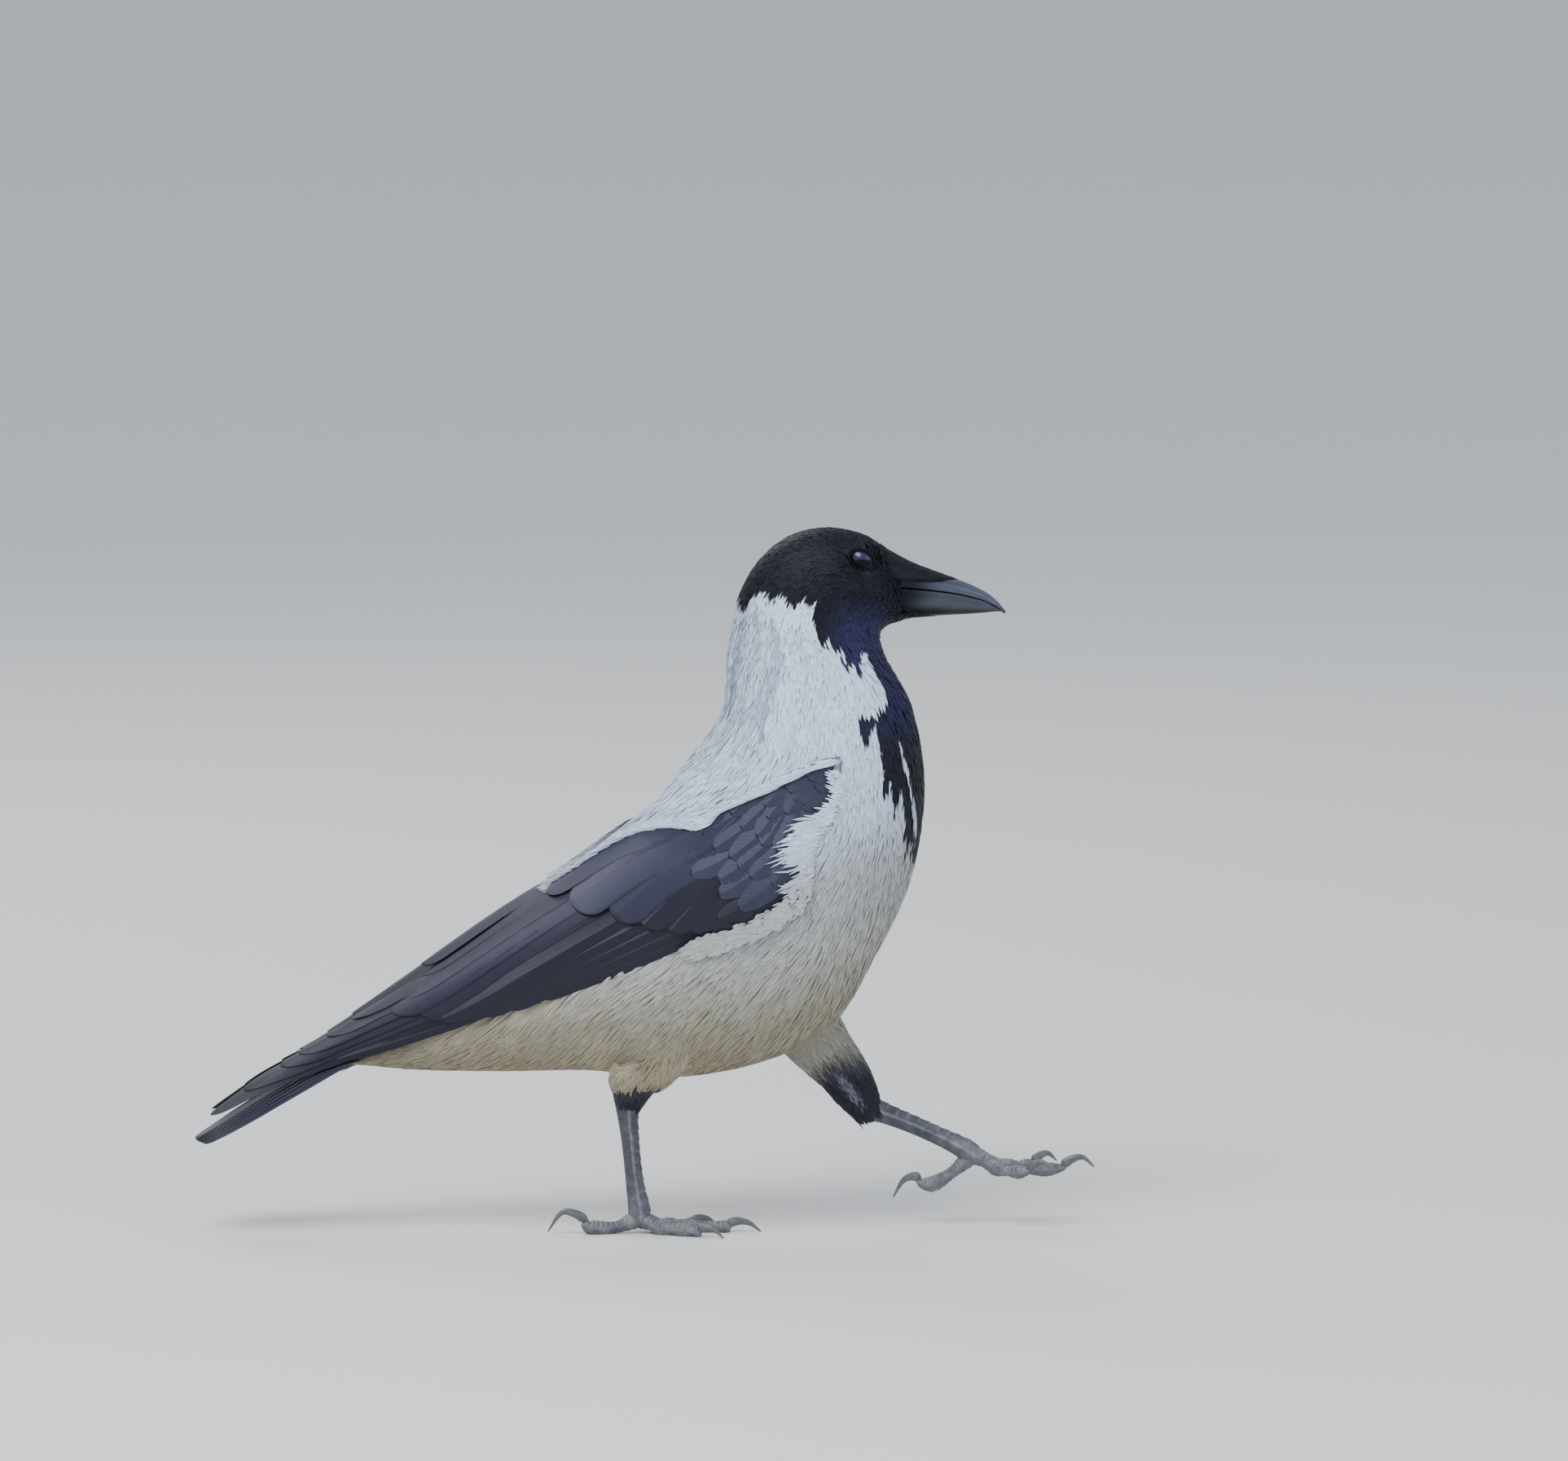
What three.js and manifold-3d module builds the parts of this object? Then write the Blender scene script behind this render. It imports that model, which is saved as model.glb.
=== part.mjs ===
// A life-size hooded crow in mid-stride: the right foot carries it, the left leg swings forward.
// Millimetres. +X is the way it walks, +Y its left, +Z up. The floor is z = 0.
// Every solid is the outer form of the coat. Neighbours keep a narrow gap, and nothing overlaps.
import * as THREE from "three";
import { LoftGeometry } from "three/addons/geometries/LoftGeometry.js";
import { mergeVertices } from "three/addons/utils/BufferGeometryUtils.js";
import Module from "manifold-3d";

const wasm = await Module();
wasm.setup();

// ---------------------------------------------------------------- driving dimensions
const GAP = 0.3; // between neighbouring pieces
const WING_GAP = 0.5; // around the folded wings, whose faces are twisted
const RIGHT = -1; // the side's sign along Y
const LEFT = 1;
const TAIL_TIP_X = -209;
const TAIL_TIP_Z = 45;
const TAIL_RISE = 0.7; // rise of the tail's upper midline per millimetre of X at its tip
const TAIL_SAG = 0.0009; // how much less it rises with the square of the way to the root
const EYE_RADIUS = 7.2;
const EYE_AT = { x: 107.4, out: 12.4, z: 321.8 };

// Rings of the body from under the tail to the face: back and belly points, half width, where the
// width is greatest (0 at the back, 1 at the belly).
const BODY = [
  { name: "undertail tip", back: [-124, 88], belly: [-127, 80], half: 7, widest: 0.5 },
  { name: "undertail", back: [-100, 108], belly: [-102, 78], half: 17, widest: 0.5 },
  { name: "vent", back: [-60, 146], belly: [-62, 77.5], half: 28, widest: 0.5 },
  { name: "rump", back: [-22, 180], belly: [-22, 78], half: 38, widest: 0.5 },
  { name: "loin", back: [8, 205], belly: [16, 74.5], half: 44.5, widest: 0.5 },
  { name: "mid back", back: [29, 231], belly: [58, 81.5], half: 48.5, widest: 0.5 },
  { name: "shoulder", back: [38.5, 244], belly: [92, 98.5], half: 50, widest: 0.5 },
  { name: "breast", back: [42, 253], belly: [113, 131.5], half: 48, widest: 0.52 },
  { name: "upper breast", back: [43, 263.5], belly: [130, 168.5], half: 43.5, widest: 0.54 },
  { name: "neck base", back: [43.5, 276.5], belly: [136.5, 211], half: 37, widest: 0.54 },
  { name: "mid neck", back: [46, 289.5], belly: [131, 249], half: 31, widest: 0.54 },
  { name: "upper neck", back: [49.5, 304.5], belly: [118.5, 273.5], half: 26.5, widest: 0.55 },
  { name: "nape", back: [58.5, 320], belly: [115.5, 284.5], half: 24.5, widest: 0.55 },
  { name: "hind crown", back: [72.5, 331.5], belly: [117.6, 288.4], half: 23, widest: 0.55 },
  { name: "crown", back: [89.5, 335.5], belly: [120.5, 290.2], half: 21.8, widest: 0.55 },
  { name: "brow", back: [105, 333.3], belly: [123.5, 291], half: 18.8, widest: 0.56 },
  { name: "forehead", back: [115, 328.4], belly: [127, 292], half: 14.2, widest: 0.58 },
  { name: "lores", back: [121.5, 323.6], belly: [130.5, 292.9], half: 9, widest: 0.6 },
  { name: "face", back: [126, 320.6], belly: [134, 293.5], half: 6, widest: 0.6 },
];
const BODY_SQUARENESS = 2.15; // 2 is an ellipse
const BODY_AROUND = 20;
const BODY_STEPS = 27;
const NECK_CUT = { back: [42.6, 257.5], belly: [134.5, 193] };
const HEAD_CUT = { back: [49.2, 303.5], belly: [118.8, 273] };

// The folded wing, shoulder to tip: upper and lower edge as [x, distance from the midplane, z],
// how far the outside bulges between them, and the thickness.
const WING = [
  { top: [97, 37, 229], low: [98, 39, 221], bulge: 0.6, thick: 3.5 },
  { top: [84, 38.5, 226], low: [93, 44, 208.5], bulge: 1.6, thick: 6.5 },
  { top: [70, 40, 219], low: [83, 48.5, 193], bulge: 3, thick: 9 },
  { top: [51, 40, 209.5], low: [77, 51, 169.5], bulge: 4.5, thick: 10 },
  { top: [27, 33, 199], low: [56, 51, 155], bulge: 7, thick: 9 },
  { top: [-1, 18, 189.5], low: [29, 48, 145.5], bulge: 11.5, thick: 8 },
  { top: [-30, 6.5, 171.5], low: [-3, 42.5, 133.5], bulge: 12.5, thick: 7 },
  { top: [-60, 5, 153], low: [-38, 36, 120.5], bulge: 11, thick: 5.5 },
  { top: [-92, 4.5, 130.5], low: [-75, 29, 105], bulge: 9, thick: 4.2 },
  { top: [-124, 4, 109], low: [-112, 23, 93.5], bulge: 6, thick: 3 },
  { top: [-152, 4, 91.5], low: [-145, 17, 84], bulge: 3.2, thick: 2.2 },
  { top: [-178, 5, 76.5], low: [-175, 14.5, 73], bulge: 1, thick: 1.6 },
  { top: [-202, 8.5, 59], low: [-201.5, 12, 57.5], bulge: 0.2, thick: 1.2 },
];
// The left wing rides over the right one's edge between two of those rows.
const WING_OVERLAP = { from: 4, to: 9.2, lift: 5, inward: 4.5 };
const WING_STEPS = 22;
const WING_ACROSS = 5; // faces across the outside
const WING_CLEARANCE = 26; // outside a wing, where the body is cut back
const COVERT_CUT = 5.35; // where the wing parts, counted in rows of WING
const PRIMARY_CUT = 8.55;

// Tail, root to tip: x, half width, drop of the outer feathers below the midline, thickness.
const TAIL = [
  { x: -62, half: 13, drop: 9.5, thick: 6 },
  { x: -95, half: 17, drop: 10.5, thick: 5 },
  { x: -131, half: 21.5, drop: 10.5, thick: 3.8 },
  { x: -154, half: 24, drop: 9, thick: 3 },
  { x: -177, half: 25.5, drop: 6.5, thick: 2.3 },
  { x: -190, half: 25, drop: 4.3, thick: 1.8 },
  { x: -201, half: 20, drop: 2.2, thick: 1.5 },
  { x: TAIL_TIP_X, half: 10, drop: 0.6, thick: 1.2 },
];
const TAIL_STEPS = 11;
const TAIL_ACROSS = 8;

// Bill halves, as rings like those of the body.
const BILL_UPPER = [
  { back: [119, 319.4], belly: [117, 308.5], half: 8.9, widest: 0.82 },
  { back: [132, 316.2], belly: [132, 307.4], half: 8.3, widest: 0.82 },
  { back: [144, 313], belly: [144, 306.1], half: 7.2, widest: 0.82 },
  { back: [155, 309.8], belly: [155, 304.2], half: 5.8, widest: 0.82 },
  { back: [164.5, 305.4], belly: [164, 301.6], half: 4.1, widest: 0.8 },
  { back: [170.8, 300.9], belly: [170, 298.6], half: 2.6, widest: 0.75 },
  { back: [175.2, 295.7], belly: [174, 294.9], half: 0.8, widest: 0.6 },
];
const BILL_LOWER = [
  { back: [114, 308.1], belly: [124, 292.6], half: 8.5, widest: 0.25 },
  { back: [131, 307.1], belly: [134, 293.3], half: 7.9, widest: 0.22 },
  { back: [144, 305.7], belly: [146, 294.1], half: 6.8, widest: 0.2 },
  { back: [155, 303.8], belly: [156, 294.6], half: 5.4, widest: 0.2 },
  { back: [164, 301.2], belly: [164, 295.2], half: 3.8, widest: 0.22 },
  { back: [169.5, 298.5], belly: [169.5, 295.8], half: 2.1, widest: 0.3 },
  { back: [172.8, 296.6], belly: [172.8, 295.9], half: 0.7, widest: 0.5 },
];
const BILL_AROUND = 10;
const BILL_STEPS = 8;
// The stiff feathers that lie over the nostrils.
const BRISTLES = [
  { back: [117, 327], belly: [117, 309], half: 12, widest: 0.72 },
  { back: [127, 320.9], belly: [127, 309.4], half: 9.9, widest: 0.72 },
  { back: [136, 317], belly: [137, 309.4], half: 8.6, widest: 0.68 },
  { back: [143.5, 314.3], belly: [144, 309.6], half: 6.6, widest: 0.62 },
  { back: [149, 312.4], belly: [149, 310.2], half: 3.2, widest: 0.6 },
];

// Limbs: [x, distance from the midplane, z] with the radius fore and aft and the radius sideways.
const THIGH_RIGHT = [
  { at: [20, 24, 116], deep: 17, wide: 13 },
  { at: [14, 23, 100], deep: 18, wide: 14 },
  { at: [7, 21, 86], deep: 16, wide: 13.5 },
  { at: [-0.5, 18.5, 76], deep: 12.5, wide: 11 },
  { at: [-2.6, 16.5, 69], deep: 9.4, wide: 8.4 },
];
const THIGH_LEFT = [
  { at: [64, 25, 112], deep: 18, wide: 15 },
  { at: [78, 25, 98], deep: 17, wide: 14.5 },
  { at: [89.5, 24.5, 83.5], deep: 14, wide: 12.5 },
  { at: [98, 24, 73.5], deep: 12, wide: 11 },
  { at: [104, 23, 64.5], deep: 10.6, wide: 9.6 },
  { at: [109, 22, 56.5], deep: 8.2, wide: 7.6 },
];
const SHANK_RIGHT = [
  { at: [-3, 16.8, 71], deep: 6.4, wide: 5.4 },
  { at: [-3.4, 15.6, 64], deep: 6.5, wide: 5.2 },
  { at: [-3.6, 14.6, 58], deep: 5.1, wide: 3.9 },
  { at: [-2.6, 12.6, 47], deep: 4.3, wide: 3.2 },
  { at: [-1.4, 9.8, 34], deep: 4.1, wide: 3 },
  { at: [0.1, 6.4, 21], deep: 4.5, wide: 3.4 },
  { at: [1.4, 5.2, 13.5], deep: 5.2, wide: 4.4 },
  { at: [1.8, 4.7, 8.5], deep: 5.2, wide: 5 },
  { at: [2, 4.5, 4.4], deep: 3.6, wide: 4 },
];
const SHANK_LEFT = [
  { at: [105.5, 23, 61], deep: 5.8, wide: 5 },
  { at: [110.5, 22, 56.6], deep: 6.3, wide: 5.2 },
  { at: [118, 21, 53.8], deep: 5, wide: 3.8 },
  { at: [131, 19.4, 48.8], deep: 4.4, wide: 3.2 },
  { at: [144.5, 17.6, 43], deep: 4.4, wide: 3.2 },
  { at: [153, 16.6, 39], deep: 4.9, wide: 4.2 },
  { at: [158.5, 16, 35.8], deep: 5.2, wide: 5 },
  { at: [162, 15.8, 32.8], deep: 3.8, wide: 4 },
];
const LIMB_AROUND = 8;
const LIMB_STEPS = 2; // between two rows

// Toes 1 to 4: hind, inner, middle, outer. Length, turn away from straight ahead (positive is
// outwards), root radius, end radius, joints along the toe, claw length along its chord.
const TOES = [
  { toe: 1, length: 26, turn: 172, root: 3.6, end: 3, joints: 1, claw: 16 },
  { toe: 2, length: 29, turn: -28, root: 3.3, end: 2.7, joints: 2, claw: 12 },
  { toe: 3, length: 42.5, turn: -4, root: 3.6, end: 2.8, joints: 2, claw: 14 },
  { toe: 4, length: 31, turn: 24, root: 3.3, end: 2.6, joints: 3, claw: 11.5 },
];
const TOE_START = 1.5; // from the middle of the foot's joint to a toe's root
const TOE_AROUND = 8;
const TOE_STEPS = 6;
const JOINT_SWELL = 0.45; // how far a joint's pad swells out
const CLAW_ARC = [[-0.2, 0.08], [0.2, 0.16], [0.6, 0.08], [1, -0.17]]; // reach and rise per chord
const CLAW_AROUND = 6;
const CLAW_STEPS = 5;

// ---------------------------------------------------------------- loft helpers
const lerp = THREE.MathUtils.lerp;

// A catmull-rom curve through one field of every row, so that all fields share one parameter.
function fieldCurve(rows, pick) {
  const points = rows.map((row) => new THREE.Vector3(...pick(row)));
  return new THREE.CatmullRomCurve3(points, false, "catmullrom", 0.5);
}

function newellNormal(section) {
  const normal = new THREE.Vector3();
  section.forEach((p, i) => {
    const q = section[(i + 1) % section.length];
    normal.x += (p.y - q.y) * (p.z + q.z);
    normal.y += (p.z - q.z) * (p.x + q.x);
    normal.z += (p.x - q.x) * (p.y + q.y);
  });
  return normal;
}

const middleOf = (section) =>
  section.reduce((sum, p) => sum.add(p), new THREE.Vector3()).divideScalar(section.length);

// The solid inside a geometry: only its places and faces are kept, without faces that have no area.
function solidOf(geometry) {
  const bare = new THREE.BufferGeometry();
  bare.setAttribute("position", geometry.attributes.position);
  bare.setIndex(geometry.index);
  const merged = mergeVertices(bare, 1e-4);
  const index = Array.from(merged.index.array);
  const faces = [];
  for (let i = 0; i < index.length; i += 3) {
    const [a, b, c] = index.slice(i, i + 3);
    if (a !== b && b !== c && c !== a) faces.push(a, b, c);
  }
  return new wasm.Manifold(
    new wasm.Mesh({
      numProp: 3,
      vertProperties: new Float32Array(merged.attributes.position.array),
      triVerts: new Uint32Array(faces),
    }),
  );
}

// A closed solid through the sections, wound so that its faces point out. `grow` moves both ends out.
function loft(sections, grow = 0) {
  const along = middleOf(sections[1]).sub(middleOf(sections[0]));
  const leave = middleOf(sections.at(-1)).sub(middleOf(sections.at(-2))).setLength(grow);
  const enter = along.clone().setLength(-grow);
  sections[0].forEach((p) => p.add(enter));
  sections.at(-1).forEach((p) => p.add(leave));
  if (newellNormal(sections[0]).dot(along) < 0) sections.forEach((section) => section.reverse());
  return solidOf(new LoftGeometry(sections, { capStart: true, capEnd: true }));
}

const bend = (value, squareness) => Math.sign(value) * Math.abs(value) ** (2 / squareness);

// One ring in the plane of its back point, its belly point and the Y axis.
function ring(back, belly, half, widest, around, squareness, grow) {
  const middle = back.clone().lerp(belly, widest);
  const up = back.clone().sub(belly).normalize();
  return Array.from({ length: around }, (_, k) => {
    const angle = (2 * Math.PI * k) / around;
    const rise = bend(Math.cos(angle), squareness);
    const reach = (rise > 0 ? back : belly).distanceTo(middle) + grow;
    return middle
      .clone()
      .addScaledVector(up, rise * reach)
      .setY(bend(Math.sin(angle), squareness) * (half + grow));
  });
}

// A loft on rings that are given by their back and belly points in the midplane.
function ringed(rows, { around, steps, squareness = 2, grow = 0 }) {
  const backs = fieldCurve(rows, (row) => [row.back[0], 0, row.back[1]]);
  const bellies = fieldCurve(rows, (row) => [row.belly[0], 0, row.belly[1]]);
  const shapes = fieldCurve(rows, (row) => [row.half, row.widest, 0]);
  return loft(
    Array.from({ length: steps + 1 }, (_, i) => {
      const t = i / steps;
      const shape = shapes.getPoint(t);
      return ring(backs.getPoint(t), bellies.getPoint(t), shape.x, shape.y, around, squareness, grow);
    }),
    grow,
  );
}

// A round limb along its own path. `deep` is measured fore and aft, `wide` sideways.
function limb(path, radiiAt, { around, steps, grow = 0 }) {
  const sideways = new THREE.Vector3(0, 1, 0);
  return loft(
    Array.from({ length: steps + 1 }, (_, i) => {
      const t = i / steps;
      const tangent = path.getTangent(t);
      const across = sideways.clone().addScaledVector(tangent, -tangent.y).normalize();
      const front = tangent.clone().cross(across);
      const { deep, wide } = radiiAt(t);
      return Array.from({ length: around }, (_, k) => {
        const angle = (2 * Math.PI * k) / around;
        return path
          .getPoint(t)
          .addScaledVector(front, (deep + grow) * Math.cos(angle))
          .addScaledVector(across, (wide + grow) * Math.sin(angle));
      });
    }),
    grow,
  );
}

function stationLimb(rows, side, grow = 0) {
  const path = fieldCurve(rows, (row) => [row.at[0], side * row.at[1], row.at[2]]);
  const radii = fieldCurve(rows, (row) => [row.deep, row.wide, 0]);
  const radiiAt = (t) => {
    const r = radii.getPoint(t);
    return { deep: r.x, wide: r.y };
  };
  return limb(path, radiiAt, { around: LIMB_AROUND, steps: (rows.length - 1) * LIMB_STEPS, grow });
}

// ---------------------------------------------------------------- wing and tail
// The upper edge of a wing. The left one rides over the right one's along the back.
function wingTops(side) {
  const { from, to, lift, inward } = WING_OVERLAP;
  return fieldCurve(WING, (row) => {
    const share = THREE.MathUtils.clamp((WING.indexOf(row) - from) / (to - from), 0, 1);
    const riding = side === LEFT ? Math.sin(Math.PI * share) ** 0.5 : 0;
    return [row.top[0], side * (row.top[1] - inward * riding), row.top[2] + lift * riding];
  });
}

// Sections of the folded wing. `grow` adds to every side and `outside` to the outer face only.
function wing(side, { grow = 0, outside = 0 } = {}) {
  const tops = wingTops(side);
  const lows = fieldCurve(WING, (row) => [row.low[0], side * row.low[1], row.low[2]]);
  const shapes = fieldCurve(WING, (row) => [row.bulge, row.thick, 0]);
  const axis = tops.getPoint(1).sub(tops.getPoint(0)).setY(0).normalize();
  return loft(
    Array.from({ length: WING_STEPS + 1 }, (_, i) => {
      const t = i / WING_STEPS;
      const down = lows.getPoint(t).sub(tops.getPoint(t));
      const width = down.length();
      down.normalize();
      const out = down.clone().cross(axis).normalize();
      if (out.y * side < 0) out.negate();
      const shape = shapes.getPoint(t);
      const at = (v, height) =>
        tops
          .getPoint(t)
          .addScaledVector(down, lerp(-grow, width + grow, v))
          .addScaledVector(out, shape.x * 4 * v * (1 - v) + height);
      const lens = (v) => Math.sqrt(Math.max(0, 4 * v * (1 - v))) * 0.55 + 0.45;
      const across = Array.from({ length: WING_ACROSS + 1 }, (_, k) => k / WING_ACROSS);
      const outer = across.map((v) => at(v, grow + outside));
      const inner = across.reverse().map((v) => at(v, -shape.y * lens(v) - grow));
      return [...outer, ...inner];
    }),
    grow,
  );
}

function tailMidZ(x) {
  const way = x - TAIL_TIP_X;
  return TAIL_TIP_Z + TAIL_RISE * way - TAIL_SAG * way * way;
}

function tail({ grow = 0 } = {}) {
  const shapes = fieldCurve(TAIL, (row) => [row.half, row.drop, row.thick]);
  const places = fieldCurve(TAIL, (row) => [row.x, 0, 0]);
  return loft(
    Array.from({ length: TAIL_STEPS + 1 }, (_, i) => {
      const t = i / TAIL_STEPS;
      const { x: half, y: drop, z: thick } = shapes.getPoint(t);
      const x = places.getPoint(t).x;
      const at = (v, below) => {
        const y = v * (half + grow);
        const roof = tailMidZ(x) - drop * (y / half) ** 2;
        return new THREE.Vector3(x, y, below ? roof - thick - grow : roof + grow);
      };
      const spread = Array.from({ length: TAIL_ACROSS + 1 }, (_, k) => (2 * k) / TAIL_ACROSS - 1);
      return [...spread.map((v) => at(v, false)), ...spread.reverse().map((v) => at(v, true))];
    }),
    grow,
  );
}

// ---------------------------------------------------------------- feet
// The path of a toe along its heading. `heights` pairs a share of its length with a height over
// the foot's joint.
function toePath(foot, { length, turn }, side, heights) {
  const heading = THREE.MathUtils.degToRad(turn) * side;
  const points = heights.map(([share, height]) => {
    const reach = TOE_START + share * length;
    return new THREE.Vector3(
      foot.x + reach * Math.cos(heading),
      side * foot.out + reach * Math.sin(heading),
      foot.z + height,
    );
  });
  return new THREE.CatmullRomCurve3(points);
}

function toe(foot, row, side, grow = 0) {
  const path = toePath(foot, row, side, foot.heights(row));
  const radiiAt = (t) => {
    const swell = JOINT_SWELL * Math.cos(2 * Math.PI * t * (row.joints + 0.5));
    const round = Math.min(1, 0.45 + 6 * (1 - t)); // the toe's end closes in
    const radius = (lerp(row.root, row.end, t) + swell) * round;
    return { deep: radius, wide: radius * 0.96 };
  };
  return limb(path, radiiAt, { around: TOE_AROUND, steps: TOE_STEPS, grow });
}

// A curved claw that leaves the toe's end, arches up and comes down to a point.
function claw(foot, row, side, grow = 0) {
  const path = toePath(foot, row, side, foot.heights(row));
  const end = path.getPoint(1);
  const flat = path.getTangent(1).setZ(0).normalize();
  const up = new THREE.Vector3(0, 0, 1);
  const hold = foot.claw(row);
  const lean = (foot.z + hold.tip - end.z) / row.claw - CLAW_ARC.at(-1)[1];
  const arc = CLAW_ARC.map(([reach, rise]) => {
    const height = rise + reach * lean + hold.rise * Math.sin(Math.PI * Math.max(0, reach));
    return end
      .clone()
      .addScaledVector(flat, reach * hold.reach * row.claw)
      .addScaledVector(up, height * row.claw);
  });
  const radiiAt = (t) => {
    const radius = lerp(2.1, 0.45, t ** 0.8);
    return { deep: radius, wide: radius * 0.72 };
  };
  return limb(new THREE.CatmullRomCurve3(arc), radiiAt, { around: CLAW_AROUND, steps: CLAW_STEPS, grow });
}

// The standing foot lies on the floor. The swinging one is held level, its hind toe hanging.
// `heights` shapes a toe, and `claw` gives how far a claw reaches, how much more it arches and
// the height of its tip.
const FOOT_RIGHT = {
  x: 1.5,
  out: 4.6,
  z: 0,
  heights: (row) =>
    row.toe === 1
      ? [[0, 6.5], [0.35, 3.2], [0.75, 2.7], [1, 4.6]]
      : [[0, 6.3], [0.3, 3], [0.6, 2.75], [0.9, 2.45], [1, 2.7]],
  claw: (row) =>
    row.toe === 1
      ? { reach: 1, rise: 0.3, tip: 1.6 }
      : { reach: 1, rise: 0.04, tip: 0.15 },
};
const FOOT_LEFT = {
  x: 160.5,
  out: 15.8,
  z: 33.8,
  heights: (row) =>
    row.toe === 1
      ? [[0, 0], [0.35, -8], [0.7, -13.5], [1, -13]]
      : [[0, 0], [0.3, -4.4], [0.65, -6], [1, -5]],
  claw: (row) =>
    row.toe === 1
      ? { reach: 0.7, rise: 0.12, tip: -20.5 }
      : { reach: 0.95, rise: 0.16, tip: -4.5 },
};

// ---------------------------------------------------------------- cutting and parting
// Cutting can leave crumbs, so a piece is the largest body that is left.
function largest(solid) {
  const bodies = solid.decompose();
  return bodies.reduce((best, body) => (body.volume() > best.volume() ? body : best));
}

const cutBy = (solid, cutters) => largest(cutters.reduce((left, cutter) => left.subtract(cutter), solid));

// The unit normal, towards the head, and offset of the plane through a back and a belly point.
function partingPlane({ back, belly }) {
  const normal = new THREE.Vector3(back[1] - belly[1], 0, belly[0] - back[0]).normalize();
  return { normal, offset: normal.x * back[0] + normal.z * back[1] };
}

const above = (solid, { normal, offset }) =>
  solid.trimByPlane([normal.x, normal.y, normal.z], offset + GAP / 2);
const below = (solid, { normal, offset }) =>
  solid.trimByPlane([-normal.x, -normal.y, -normal.z], -offset + GAP / 2);

// A plane across the folded wing at a place counted in rows of WING, facing the tip.
function wingPlane(row, side) {
  const t = row / (WING.length - 1);
  const tops = wingTops(side);
  const axis = tops.getPoint(1).sub(tops.getPoint(0)).setY(0).normalize();
  return { normal: axis, offset: axis.dot(tops.getPoint(t)) };
}

const aboveFloor = (solid) => solid.trimByPlane([0, 0, 1], 0);

// ---------------------------------------------------------------- materials
const coat = {
  black: new THREE.MeshStandardMaterial({ name: "black_plumage", color: 0x1b1b24, roughness: 0.55 }),
  grey: new THREE.MeshStandardMaterial({ name: "grey_plumage", color: 0xb7b8bd, roughness: 0.85 }),
  wing: new THREE.MeshStandardMaterial({ name: "flight_feathers", color: 0x24222f, roughness: 0.45 }),
  horn: new THREE.MeshStandardMaterial({ name: "bill_horn", color: 0x33363c, roughness: 0.35 }),
  eye: new THREE.MeshStandardMaterial({ name: "eye", color: 0x120c0a, roughness: 0.05 }),
  scale: new THREE.MeshStandardMaterial({ name: "leg_scales", color: 0x3f4147, roughness: 0.6 }),
};

const crow = new THREE.Group();

function addPiece(name, solid, material) {
  const { vertProperties, triVerts } = solid.getMesh();
  const geometry = new THREE.BufferGeometry();
  geometry.setAttribute("position", new THREE.BufferAttribute(new Float32Array(vertProperties), 3));
  geometry.setIndex(new THREE.BufferAttribute(new Uint32Array(triVerts), 1));
  geometry.computeVertexNormals();
  const mesh = new THREE.Mesh(geometry, material);
  mesh.name = name;
  crow.add(mesh);
}

// ---------------------------------------------------------------- body, neck and head
const sides = [
  { side: RIGHT, label: "right", thigh: THIGH_RIGHT, shank: SHANK_RIGHT, foot: FOOT_RIGHT },
  { side: LEFT, label: "left", thigh: THIGH_LEFT, shank: SHANK_LEFT, foot: FOOT_LEFT },
];
const billShape = { around: BILL_AROUND, steps: BILL_STEPS, squareness: 2.3 };
const flesh = ringed(BODY, { around: BODY_AROUND, steps: BODY_STEPS, squareness: BODY_SQUARENESS });
const neckPlane = partingPlane(NECK_CUT);
const headPlane = partingPlane(HEAD_CUT);

function eye(side, grow = 0) {
  const ball = solidOf(new THREE.SphereGeometry(EYE_RADIUS + grow, 14, 9));
  return ball.translate([EYE_AT.x, side * EYE_AT.out, EYE_AT.z]);
}

const wingSpaces = sides.map(({ side }) => wing(side, { grow: WING_GAP, outside: WING_CLEARANCE }));
const thighSpaces = sides.map(({ side, thigh }) => stationLimb(thigh, side, GAP));
addPiece(
  "trunk",
  cutBy(below(flesh, neckPlane), [...wingSpaces, tail({ grow: GAP }), ...thighSpaces]),
  coat.grey,
);
addPiece("neck", cutBy(below(above(flesh, neckPlane), headPlane), wingSpaces), coat.grey);

const billSpaces = [BILL_UPPER, BILL_LOWER].map((rows) => ringed(rows, { ...billShape, grow: GAP }));
const upperBill = ringed(BILL_UPPER, billShape);
const lowerBill = cutBy(ringed(BILL_LOWER, billShape), [billSpaces[0]]);
const bristles = (grow = 0) => ringed(BRISTLES, { around: BILL_AROUND, steps: 4, grow });
addPiece(
  "head",
  cutBy(above(flesh, headPlane), [...billSpaces, bristles(GAP), eye(RIGHT, GAP), eye(LEFT, GAP)]),
  coat.black,
);
addPiece("bill_upper", upperBill, coat.horn);
addPiece("bill_lower", lowerBill, coat.horn);
addPiece("bill_bristles", cutBy(bristles(), billSpaces), coat.black);

// ---------------------------------------------------------------- tail
addPiece("tail", cutBy(tail(), sides.map(({ side }) => wing(side, { grow: WING_GAP }))), coat.wing);

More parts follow.
